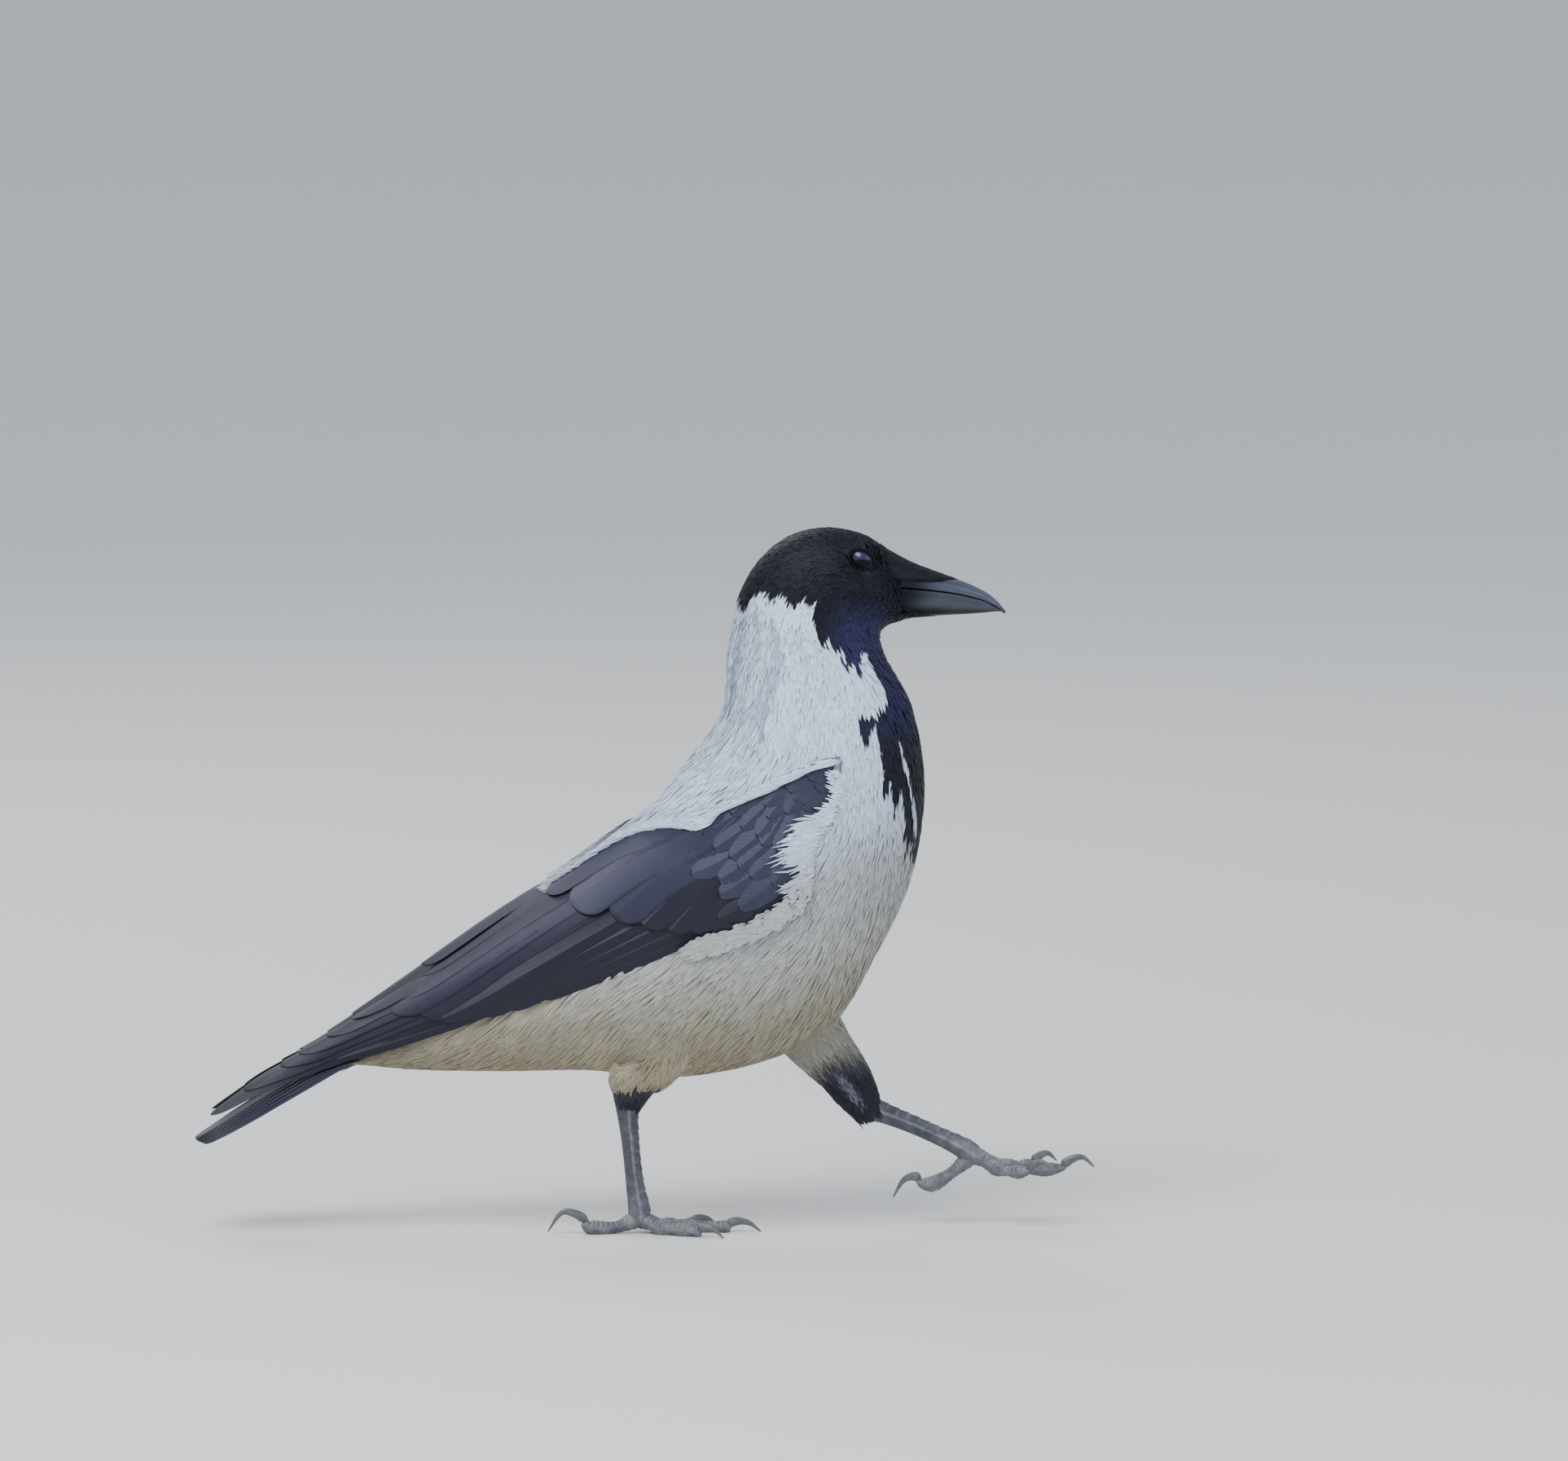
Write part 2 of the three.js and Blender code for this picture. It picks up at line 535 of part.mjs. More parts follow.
// ---------------------------------------------------------------- paired parts
for (const { side, label, thigh, shank, foot } of sides) {
  addPiece(`eye_${label}`, eye(side), coat.eye);

  const folded = wing(side);
  const covertPlane = wingPlane(COVERT_CUT, side);
  const primaryPlane = wingPlane(PRIMARY_CUT, side);
  addPiece(`wing_${label}_coverts`, largest(below(folded, covertPlane)), coat.wing);
  const behindCoverts = above(folded, covertPlane);
  addPiece(`wing_${label}_secondaries`, largest(below(behindCoverts, primaryPlane)), coat.wing);
  addPiece(`wing_${label}_primaries`, largest(above(folded, primaryPlane)), coat.wing);

  const shankSpace = stationLimb(shank, side, GAP);
  addPiece(`thigh_${label}`, cutBy(stationLimb(thigh, side), [shankSpace]), coat.grey);
  addPiece(`shank_${label}`, aboveFloor(stationLimb(shank, side)), coat.scale);

  const placed = []; // toes that already stand, which later ones stay clear of
  for (const number of [3, 1, 2, 4]) {
    const row = TOES[number - 1];
    const body = aboveFloor(cutBy(toe(foot, row, side), [shankSpace, ...placed]));
    placed.push(toe(foot, row, side, GAP));
    addPiece(`toe_${label}_${number}`, largest(body), coat.scale);
    addPiece(
      `claw_${label}_${number}`,
      largest(aboveFloor(cutBy(claw(foot, row, side), [toe(foot, row, side, GAP)]))),
      coat.horn,
    );
  }
}

// The origin is the middle of the box that holds the crow, at the floor.
crow.updateMatrixWorld(true);
const box = new THREE.Box3().setFromObject(crow);
const middle = box.getCenter(new THREE.Vector3());
crow.position.set(-middle.x, -middle.y, -box.min.z);

export default crow;
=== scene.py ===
"""A life-size hooded crow in mid-stride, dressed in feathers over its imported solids.

The shapes repeat the part's own named values, in its millimetres: +X the way the crow walks, +Y its
left, +Z up, the floor at z = 0. to_row() turns them into the row's metres.
"""

import math

import bmesh
import bpy
import numpy as np
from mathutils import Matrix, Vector


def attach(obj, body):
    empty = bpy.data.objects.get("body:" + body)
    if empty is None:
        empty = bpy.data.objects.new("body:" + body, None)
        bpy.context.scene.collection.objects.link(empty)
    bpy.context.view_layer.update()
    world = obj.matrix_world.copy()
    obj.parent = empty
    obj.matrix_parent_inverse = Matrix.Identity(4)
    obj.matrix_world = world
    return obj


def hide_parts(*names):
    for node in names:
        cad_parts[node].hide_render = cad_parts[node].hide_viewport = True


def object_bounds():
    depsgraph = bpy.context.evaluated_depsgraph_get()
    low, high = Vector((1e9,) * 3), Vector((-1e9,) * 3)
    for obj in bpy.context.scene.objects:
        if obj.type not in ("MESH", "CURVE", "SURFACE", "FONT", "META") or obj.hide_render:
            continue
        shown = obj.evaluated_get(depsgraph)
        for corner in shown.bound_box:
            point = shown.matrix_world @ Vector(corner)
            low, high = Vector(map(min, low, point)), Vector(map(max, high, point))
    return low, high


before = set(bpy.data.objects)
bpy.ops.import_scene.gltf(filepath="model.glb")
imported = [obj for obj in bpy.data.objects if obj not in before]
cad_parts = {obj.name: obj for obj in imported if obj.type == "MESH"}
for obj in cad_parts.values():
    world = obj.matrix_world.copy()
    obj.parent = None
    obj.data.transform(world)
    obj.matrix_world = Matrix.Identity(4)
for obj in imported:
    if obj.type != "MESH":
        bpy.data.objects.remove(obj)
cad_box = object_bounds()
rng = np.random.default_rng(20)

# ---------------------------------------------------------------- dimensions, in mm
# The middle line of the tail: its tip, and its rise and sag on the way forwards.
TAIL_TIP_X = -209
TAIL_TIP_Z = 45
TAIL_RISE = 0.7
TAIL_SAG = 0.0009
# The eye's ball, its flattening and how far round it goes, and the opening of the lids over it.
EYE_RADIUS = 7.2
EYE_AT = np.array([107.4, 12.4, 321.8])
EYE_WIDE, EYE_TALL = 5.6, 4.6
EYE_FLAT, EYE_LENS = 0.86, 1.0
# How far out the lids stand, their slant, and the ring of the head that is brought out to them.
LID_LEVEL = 17.7
LID_SLOPE = 0.28
SOCKET_FROM, SOCKET_TO, SOCKET_PUSH = 5.5, 12.5, 2.7
SOCKET_LOW = 1.25
RIGHT, LEFT = -1, 1
SIDES = {"right": RIGHT, "left": LEFT}
# How deep the skin lies under the coat's outside.
COAT_DEPTH = {"body": 4.2, "neck": 3.2, "head": 1.3}
# Where that changes: in z to the neck's and to the head's, in x under the bristles' front, in z down to
# the heels.
NECK_DEPTH_Z, HEAD_DEPTH_Z, BRISTLE_DEPTH_X, HEEL_DEPTH_Z = (200, 260), (255, 300), (136, 143), (58, 78)

# Rings of the body from under the tail to the face: back x, z, belly x, z, half width, widest.
BODY = [
    (-124, 88, -127, 80, 7, 0.5),
    (-100, 108, -102, 78, 17, 0.5),
    (-60, 146, -62, 77.5, 28, 0.5),
    (-22, 180, -22, 78, 38, 0.5),
    (8, 205, 16, 74.5, 44.5, 0.5),
    (29, 231, 58, 81.5, 48.5, 0.5),
    (38.5, 244, 92, 98.5, 50, 0.5),
    (42, 253, 113, 131.5, 48, 0.52),
    (43, 263.5, 130, 168.5, 43.5, 0.54),
    (43.5, 276.5, 136.5, 211, 37, 0.54),
    (46, 289.5, 131, 249, 31, 0.54),
    (49.5, 304.5, 118.5, 273.5, 26.5, 0.55),
    (58.5, 320, 115.5, 284.5, 24.5, 0.55),
    (72.5, 331.5, 117.6, 288.4, 23, 0.55),
    (89.5, 335.5, 120.5, 290.2, 21.8, 0.55),
    (105, 333.3, 123.5, 291, 18.8, 0.56),
    (115, 328.4, 127, 292, 14.2, 0.58),
    (121.5, 323.6, 130.5, 292.9, 9, 0.6),
    (126, 320.6, 134, 293.5, 6, 0.6),
]
BODY_SQUARENESS = 2.15
BILL_SQUARENESS = 2.3
BILL_UPPER = [
    (119, 319.4, 117, 308.5, 8.9, 0.82),
    (132, 316.2, 132, 307.4, 8.3, 0.82),
    (144, 313, 144, 306.1, 7.2, 0.82),
    (155, 309.8, 155, 304.2, 5.8, 0.82),
    (164.5, 305.4, 164, 301.6, 4.1, 0.8),
    (170.8, 300.9, 170, 298.6, 2.6, 0.75),
    (175.2, 295.7, 174, 294.9, 0.8, 0.6),
]
BILL_LOWER = [
    (114, 308.1, 124, 292.6, 8.5, 0.25),
    (131, 307.1, 134, 293.3, 7.9, 0.22),
    (144, 305.7, 146, 294.1, 6.8, 0.2),
    (155, 303.8, 156, 294.6, 5.4, 0.2),
    (164, 301.2, 164, 295.2, 3.8, 0.22),
    (169.5, 298.5, 169.5, 295.8, 2.1, 0.3),
    (172.8, 296.6, 172.8, 295.9, 0.7, 0.5),
]
MOUTH_LINE = np.array([
    (117, 308.4), (132, 307.3), (144, 305.9), (155, 304.0), (164, 301.4), (174, 295.9),
])
BRISTLES = [
    (117, 327, 117, 309, 12, 0.72),
    (127, 320.9, 127, 309.4, 9.9, 0.72),
    (136, 317, 137, 309.4, 8.6, 0.68),
    (143.5, 314.3, 144, 309.6, 6.6, 0.62),
    (149, 312.4, 149, 310.2, 3.2, 0.6),
]
# The folded wing, shoulder to tip: top x, y, z, low x, y, z, bulge, thickness.
WING = [
    (97, 37, 229, 98, 39, 221, 0.6, 3.5),
    (84, 38.5, 226, 93, 44, 208.5, 1.6, 6.5),
    (70, 40, 219, 83, 48.5, 193, 3, 9),
    (51, 40, 209.5, 77, 51, 169.5, 4.5, 10),
    (27, 33, 199, 56, 51, 155, 7, 9),
    (-1, 18, 189.5, 29, 48, 145.5, 11.5, 8),
    (-30, 6.5, 171.5, -3, 42.5, 133.5, 12.5, 7),
    (-60, 5, 153, -38, 36, 120.5, 11, 5.5),
    (-92, 4.5, 130.5, -75, 29, 105, 9, 4.2),
    (-124, 4, 109, -112, 23, 93.5, 6, 3),
    (-152, 4, 91.5, -145, 17, 84, 3.2, 2.2),
    (-178, 5, 76.5, -175, 14.5, 73, 1, 1.6),
    (-202, 8.5, 59, -201.5, 12, 57.5, 0.2, 1.2),
]
WING_LAST = len(WING) - 1
# How far the feathers' face stands out from those edges, row by row, so that it clears the body.
TOP_OUT = [3.4, 4.6, 5.4, 5.1, 4.7, 3.8, 1.8, 0, 0, 0, 0, 0, 0]
LOW_OUT = [0.4, 0.6, 0.3, 0.2, 0.9, 1.5, 2.0, 0.9, 0, 0, 0, 0, 0]
# How much of that the bulge gives back.
BULGE_LESS = 0.4
# The left wing rides over the right between these rows, this much higher and further in.
OVERLAP_FROM, OVERLAP_TO, OVERLAP_LIFT, OVERLAP_INWARD = 5.7, 9.4, 5, 3.5
# Past its upper edge a wing's surface bends inwards over this way, to this fall.
FOLD_BEND = 4.0
FOLD_DROP = {LEFT: 0.7, RIGHT: 0.45}
# Tail, root to tip: x, half width, drop of the outer feathers, thickness.
TAIL = [
    (-62, 13, 9.5, 6),
    (-95, 17, 10.5, 5),
    (-131, 21.5, 10.5, 3.8),
    (-154, 24, 9, 3),
    (-177, 25.5, 6.5, 2.3),
    (-190, 25, 4.3, 1.8),
    (-201, 20, 2.2, 1.5),
    (TAIL_TIP_X, 10, 0.6, 1.2),
]
# Limbs: x, distance from the midplane, z, radius fore and aft, radius sideways.
THIGH = {
    "right": [
        (20, 24, 116, 17, 13),
        (14, 23, 100, 18, 14),
        (7, 21, 86, 16, 13.5),
        (-0.5, 18.5, 76, 12.5, 11),
        (-2.6, 16.5, 69, 9.4, 8.4),
    ],
    "left": [
        (64, 25, 112, 18, 15),
        (78, 25, 98, 17, 14.5),
        (89.5, 24.5, 83.5, 14, 12.5),
        (98, 24, 73.5, 12, 11),
        (104, 23, 64.5, 10.6, 9.6),
        (109, 22, 56.5, 8.2, 7.6),
    ],
}
SHANK = {
    "right": [
        (-3, 16.8, 71, 6.4, 5.4),
        (-3.4, 15.6, 64, 6.5, 5.2),
        (-3.6, 14.6, 58, 5.1, 3.9),
        (-2.6, 12.6, 47, 4.3, 3.2),
        (-1.4, 9.8, 34, 4.1, 3),
        (0.1, 6.4, 21, 4.5, 3.4),
        (1.4, 5.2, 13.5, 5.2, 4.4),
        (1.8, 4.7, 8.5, 5.2, 5),
        (2, 4.5, 4.4, 3.6, 4),
    ],
    "left": [
        (105.5, 23, 61, 5.8, 5),
        (110.5, 22, 56.6, 6.3, 5.2),
        (118, 21, 53.8, 5, 3.8),
        (131, 19.4, 48.8, 4.4, 3.2),
        (144.5, 17.6, 43, 4.4, 3.2),
        (153, 16.6, 39, 4.9, 4.2),
        (158.5, 16, 35.8, 5.2, 5),
        (162, 15.8, 32.8, 3.8, 4),
    ],
}
# Toes 1 to 4: length, turn outwards in degrees, root radius, end radius, joints, claw length.
TOES = {
    1: (26, 172, 3.6, 3, 1, 16),
    2: (29, -28, 3.3, 2.7, 2, 12),
    3: (42.5, -4, 3.6, 2.8, 2, 14),
    4: (31, 24, 3.3, 2.6, 3, 11.5),
}
TOE_START = 1.5
JOINT_SWELL = 0.6
SHANK_ROUND, TOE_ROUND, CLAW_ROUND = 56, 40, 24
# A claw's way and height in chords, root to tip, and its radius at either end.
CLAW_ARC = np.array([(-0.2, 0.08), (0.2, 0.16), (0.6, 0.08), (1, -0.17)])
CLAW_ROOT, CLAW_TIP = 2.5, 0.3
# A foot: where it is, its toes' paths (share of the length, height) and its claws (reach, rise, tip).
FOOT = {
    "right": {
        "at": (1.5, 4.6, 0),
        "hind": [(0, 6.5), (0.35, 3.2), (0.75, 2.7), (1, 4.6)],
        "fore": [(0, 6.3), (0.3, 3), (0.6, 2.75), (0.9, 2.45), (1, 2.7)],
        "hind_claw": (1, 0.3, 1.6),
        "fore_claw": (1, 0.04, 0.15),
    },
    "left": {
        "at": (160.5, 15.8, 33.8),
        "hind": [(0, 0), (0.35, -8), (0.7, -13.5), (1, -13)],
        "fore": [(0, 0), (0.3, -4.4), (0.65, -6), (1, -5)],
        "hind_claw": (0.7, 0.12, -20.5),
        "fore_claw": (0.95, 0.16, -4.5),
    },
}
ROW_SHIFT = np.array([cad_box[0][0] * 1000 - TAIL_TIP_X, 0, 0])

# ---------------------------------------------------------------- markings and colours
# The hood's and the bib's edge as x, z, seen from the side: nape, cheek, throat, spur and breast.
HOOD_EDGE = [
    (40, 303), (47.8, 302.5), (51.5, 297.5), (55, 303.5), (61, 307.5), (64, 302), (67, 305), (71, 305.5),
    (75, 299.5), (78.5, 305), (82, 300), (85.5, 303.5), (83.5, 296), (85.5, 289), (88, 280), (91, 286),
    (94.5, 278.5), (97.6, 283.5), (100, 270.5), (102.5, 275), (105, 268.5), (106.5, 279), (110, 277),
    (114, 268), (118, 260), (119.3, 253.5), (115.5, 248), (104.5, 247.5), (106.5, 240), (109, 233.5),
    (111.3, 241), (113.2, 245.5), (115, 238), (116.7, 229), (117.6, 217.5), (116.5, 209), (120.5, 219),
    (122.2, 203), (125.5, 214), (127, 204), (127.2, 189), (129, 182), (130, 192), (131.4, 178),
    (180, 178), (180, 400), (40, 400),
]
BIB_SLIT = [
    (124.3, 237), (125, 237), (128.3, 225), (131.2, 212), (133, 203), (133.2, 194), (131.8, 186),
    (131, 200), (129.6, 212), (126.9, 224),
]
DARKEST = 0.004
BLACK = np.array([0.0068, 0.0073, 0.0115])
# The throat's blue-violet sheen, painted into its colour.
THROAT_PAINTED_SHEEN = np.array([0.024, 0.023, 0.074])
BLACK_GLOSS, BLADE_GLOSS = (0.78, 0.8, 1.0), (0.78, 0.78, 1.0)
# The grey coat's colour from the belly up to the mantle: height in mm, red, green, blue. Its rise from
# warm and dark below to pale and blue above is partly painted light: painted shade and ground bounce
# below, painted sky light above.
GREY_BY_HEIGHT = np.array([
    (80, 0.33, 0.285, 0.185),
    (100, 0.35, 0.32, 0.24),
    (122, 0.45, 0.45, 0.41),
    (161, 0.475, 0.5, 0.53),
    (187, 0.62, 0.71, 0.88),
    (235, 0.69, 0.82, 1.0),
])
# The warm colours of the belly, with their painted shade, reach higher on the breast: from this x on,
# this much for each mm.
BREAST_FROM, BREAST_RISE = 60, 0.35
# Zones in x or z, each from where it starts to where it is whole: the nape's painted shade along the
# neck's rear edge, the throat's painted blue sheen and its upper end, the chin where that sheen stops,
# and the bib, with how much paler that is.
NAPE_SHADE_X, NAPE_SHADE_Z = (72, 46), (215, 250)
THROAT_X, THROAT_LOW, THROAT_HIGH = (85, 105), (225, 262), (290, 306)
CHIN_X, CHIN_Z = (112, 122), (280, 288)
BIB_Z, BIB_PALER = (258, 236), 0.7
# How dark the nape's painted shade makes it beside that, and a feather's root beside its tip.
NAPE_SHADE_SHARE = 0.74
DOWN_SHARE = 0.89
# Soft streaks along neck and flank: how many lie around the body, and what they take from each colour.
STREAK_COUNTS = (13, 23, 41)
STREAK_TINT = np.array([1.05, 1.0, 0.92])
# How much paler the coat is painted where the thighs leave the body, as painted light against the
# crease's shade, and the thighs' colours beside the coat's: the left one's outside and inside, the
# planted right one's, raised as painted light against the flank's shadow, and the black's.
THIGH_CREASE_LIGHT = 0.28
THIGH_OUTSIDE = np.array([0.76, 0.77, 0.84])
THIGH_INSIDE = np.array([0.96, 1.06, 1.38])
# The planted thigh's tone is raised as painted light against the flank's shadow over it.
THIGH_PLANTED = np.array([1.2, 1.23, 1.32])
THIGH_BLACK = np.array([1.1, 1.05, 0.88])
# The blades' violet-grey where lit, their violet sheen painted in, and their painted shade near black.
BLADE_LIT = np.array([0.027, 0.0265, 0.051])
BLADE_SHADED = np.array([0.007, 0.008, 0.013])
# The tail's blue-grey holds its painted sheen, which the blades' fade darkens towards their tips.
TAIL_DARK = np.array([0.0105, 0.0145, 0.031])
BILL_HORN, BILL_WORN = (0.016, 0.020, 0.028), (0.036, 0.043, 0.055)
CLAW_HORN, CLAW_WORN = (0.045, 0.048, 0.055), (0.12, 0.125, 0.13)
BILL_TINT = np.array([0.82, 0.86, 0.96])
# The bluish band painted along the bill's side, a painted sheen.
BILL_PAINTED_SHEEN = np.array([0.27, 0.32, 0.5])
EYE_DARK = np.array([0.007, 0.0064, 0.0064])
IRIS_PALER = np.array([0.008, 0.006, 0.005])
# The colour of the eye's painted reflection of the sky, given to its specular tint.
EYE_PAINTED_SKY = np.array([0.31, 0.37, 0.62])
LEG_GREY = np.array([0.053, 0.058, 0.074])
LEG_DUST = np.array([0.32, 0.34, 0.37])

# ---------------------------------------------------------------- soft feathers
# A feather is a fan of locks. A lock's stations from root to tip, and its width at all but the tip.
STATIONS = np.array([0, 0.3, 0.6, 0.85, 1])
LOCK_PROFILE = np.array([0.6, 1, 1.05, 0.7])
# How much of its room a lock fills, its thickness in mm, and how far locks stray aside, turn and lift.
LOCK_WIDE, LOCK_THICK = 0.8, 0.14
LOCK_STRAY, LOCK_SWAY, LOCK_LIFT = 0.22, 0.05, 0.05
# How round a lock and a whole feather are shaded, and how far a feather's sides hang.
LOCK_ROUND, FEATHER_ROUND = 0.18, 0.16
FEATHER_DOME = 0.05
LOCKS_PER_MESH = 8800
# How far a marking's edge strays, in mm, and the share of locks that stay black beyond it.
EDGE_STRAY = 0.5
SPIKE_SHARE = 0.3
# Scattered roots: how many are tried for each that stands, and how close two may come, in spacings.
TRIES = 5
CROWDED = 0.86
# Maps: the margin around each map, a lock's patch in it, and the millimetres to a unit of the fine ones.
MAP_EDGE, MAP_SPAN = 0.02, 0.96
LOCK_PATCH = 0.003
MAP_UNIT = 100
STRANDS_PER_MM = 2.2
STRANDS_ROLL = 400
# The wings' faces as a raster of the side view: its cell, its low corner, its cells in x and z.
FACE_CELL = 0.5
FACE_LOW = np.array([-230.0, 40.0])
FACE_CELLS = (700, 420)
FACE_SAMPLES = (1300, 300)
# How deep feathers tuck in under a wing, and how far wisps lie out over it, in mm.
TUCK = 3.2
OVER_WING = 0.6
# How far across the wing its face goes on for wisps, and how steeply it sinks past its lower edge.
WISP_MARGIN = 1.16
EDGE_SINK = 5
# A wisp's root is pushed out by the first share, and its length past the second by all of it.
ROOT_PUSH, ROOT_EASE = 0.6, 0.28
# Rows of the wing's grid over whose lower edge wisps lie, their fall, and how far they turn to it.
OVERLAP_ROWS = slice(12, 122)
WISP_FALL, WISP_TURN = -0.1, 0.85
# How near the eye's middle feathers come. Those that would cross it: least length, how far they reach
# in, their turn and the height of their tips.
LID_REACH = 5.6
CROSSING_LEAST, CROSSING_OVER, CROSSING_TURN, CROSSING_TIP = 1.6, 0.6, 0.5, 0.15
# Where the chin's feathers end on the lower bill: x, z and fall of a line. Where the head's end.
CHIN_LINE = (124, 297.5, 0.28)
BILL_ROOT_X = 126.5
BILL_ROOT_Z = (295, 318)
# Where the head's and the neck's feathers end, from 0 at the face to 1 under the tail.
HEAD_END, NECK_END = 0.37, 0.52
# Bands of the head's feathers: from, to, spacing, length at either end, width, locks.
HEAD_BANDS = [
    (0.0, 0.14, 1.5, 3.8, 5.4, 1.8, 2),
    (0.14, 0.26, 1.8, 5.4, 7.6, 2.4, 3),
    (0.26, HEAD_END, 2.2, 8.0, 12.0, 3.0, 4),
]
# How far the lie of the coat swings down on the lower flank and over the thighs, in radians.
FLANK_TURN, THIGH_TURN = 0.62, 0.45
# The lower flank, in z, in x at its rear and in x at its front, and how near a thigh is near.
FLANK_Z, FLANK_REAR, FLANK_FRONT = (185, 120), (-95, -25), (80, 118)
THIGH_NEAR = (12, 42)
# The coat rides over the first share of a thigh, within this x of it, further out than this y and below
# this z, with this gap.
RIDE_SHARE, RIDE_REACH, RIDE_ASIDE, RIDE_BELOW, RIDE_GAP = 0.8, 70, 5, 125, 0.4
# The thighs' own feathers start below this height, and turn black below the other.
THIGH_TOP = 112
THIGH_BLACK_BELOW = {"right": 76.5, "left": 85.0}
# Rows of scapular feathers: height over the wing's upper edge, length, spacing, lift of the tip.
SCAPULARS = [(-0.6, 17, 2.2, 1.6), (1.8, 19, 2.6, 2.0), (5.0, 22, 3.4, 2.3), (8.6, 24, 4.2, 2.5)]
SCAPULARS_END = 152
SCAPULAR_TURN = 0.16
# Where the longest of them hang over the wing: the wing's row, how far in mm, half length in rows.
LOBE_ROW, LOBE_REACH, LOBE_HALF = 3.86, 6.2, 0.3

# ---------------------------------------------------------------- firm feathers
# Rows of the wing as (place along the wing, place across it), root to tip, with the widths above
# and below the shaft.
TERTIALS = [
    ((4.0, -0.03), (6.2, 0.02), (8.3, 0.03), 12, 10),
    ((4.0, 0.05), (6.2, 0.15), (8.7, 0.18), 16, 11),
    ((4.0, 0.10), (6.4, 0.28), (8.85, 0.36), 18, 13),
    ((4.2, 0.30), (6.6, 0.46), (8.58, 0.62), 11, 9),
    ((4.3, 0.45), (6.6, 0.63), (8.52, 0.77), 11, 6.5),
]
SECONDARIES = [
    ((4.3, 0.55), (6.5, 0.74), (8.35, 0.88), 10, 5),
    ((4.2, 0.68), (6.4, 0.82), (8.15, 0.93), 10, 4.5),
    ((4.1, 0.78), (6.3, 0.89), (7.9, 0.98), 10, 4.2),
    ((4.0, 0.86), (6.1, 0.95), (7.6, 1.01), 10, 4),
    ((3.9, 0.93), (5.8, 1.0), (7.2, 1.03), 9, 3.5),
]
PRIMARIES = [
    ((5.6, 0.30), (7.4, 0.12), (9.35, 0.0), 13, 12),
    ((5.6, 0.45), (7.8, 0.24), (9.8, 0.08), 13, 11),
    ((5.6, 0.55), (8.0, 0.40), (10.3, 0.18), 12, 9.5),
    ((5.6, 0.65), (8.3, 0.52), (10.65, 0.32), 7.5, 8.5),
    ((5.6, 0.72), (8.6, 0.62), (11.35, 0.45), 6.5, 7.5),
    ((5.6, 0.80), (8.8, 0.74), (12.0, 0.62), 6, 6.5),
    ((5.6, 0.86), (8.8, 0.84), (11.5, 0.9), 6, 5),
    ((5.6, 0.90), (8.4, 0.92), (10.7, 1.0), 6, 3.5),
    ((5.6, 0.94), (8.2, 0.97), (9.9, 1.02), 6, 3),
]
GREATER_COVERTS = [
    ((4.1, 0.0), (5.3, 0.04), (6.42, 0.10), 6, 11),
    ((3.4, 0.02), (4.8, 0.22), (6.2, 0.40), 12, 14),
    ((3.0, 0.08), (4.35, 0.34), (5.8, 0.64), 12, 12),
    ((2.8, 0.20), (4.15, 0.46), (5.52, 0.79), 12, 9.5),
    ((2.6, 0.30), (4.0, 0.56), (5.24, 0.89), 11, 8),
    ((2.5, 0.40), (3.85, 0.66), (4.98, 0.94), 10, 6.5),
    ((2.4, 0.50), (3.65, 0.74), (4.72, 0.98), 9, 6),
]
PRIMARY_COVERTS = [
    ((2.45, 0.66), (3.4, 0.80), (4.5, 0.90), 5, 4.2),
    ((2.4, 0.74), (3.3, 0.87), (4.3, 0.96), 5, 4),
    ((2.3, 0.80), (3.2, 0.93), (4.05, 1.0), 5, 3.6),
    ((2.2, 0.86), (3.0, 0.97), (3.75, 1.03), 5, 3.4),
]
# Groups of blades, lowest first: rows, height of the lowest blade, drop of its root, rise of its tip,
# bluntness, stations, height of the shaft, tone.
WING_GROUPS = [
    (PRIMARIES, -3.4, 1.5, 1.6, 0.84, 22, 0.22, 0.55),
    (SECONDARIES, -2.4, 0.8, 0.2, 0.92, 20, 0.12, 0.75),
    (TERTIALS, -1.3, 0.8, 0.2, 0.9, 20, 0.2, 0.48),
    (PRIMARY_COVERTS, -1.3, 0.4, 0.1, 0.86, 14, 0.14, 1.0),
    (GREATER_COVERTS, -1.1, 0.5, 0.1, 0.87, 18, 0.14, 0.95),
]
# How much higher each blade of a group lies than the next.
BLADE_STEP = 0.3
# A blade's lines across, from its upper edge over the shaft to its lower edge.
BLADE_LINES = np.array([-1, -0.96, -0.86, -0.5, -0.12, 0, 0.12, 0.5, 0.86, 0.96, 1])
# The share of a blade's stations that lie before its end begins to close.
BLADE_BODY = 0.6
# A blade's underside is painted this much darker, as painted shade.
UNDERSIDE_SHADE = 0.6
# The barbs: from one to the next along the shaft, in mm, and how far they run on for each mm off it.
BARB_PITCH = 0.8
BARB_SLANT = -1.3
SMALL_COVERT_ROWS, SMALL_COVERTS_ACROSS = 7, 9
# How much of a wing, along and across it, is filled with dark under the blades.
CORE_ALONG, CORE_ACROSS = (0.03, 0.56), (0.02, 0.98)
TAIL_PAIRS = 6

# ---------------------------------------------------------------- skin, bill and lids
WING_NODES = {
    label: [f"wing_{label}_{part}" for part in ("coverts", "secondaries", "primaries")] for label in SIDES
}
FLESH = ["trunk", "neck", "head", "bill_bristles", "thigh_right", "thigh_left"]
SKIN_CELL = 0.0016
# How square the bill's halves are where they meet: the power of their outline's width there.
BILL_MEETING = 0.14
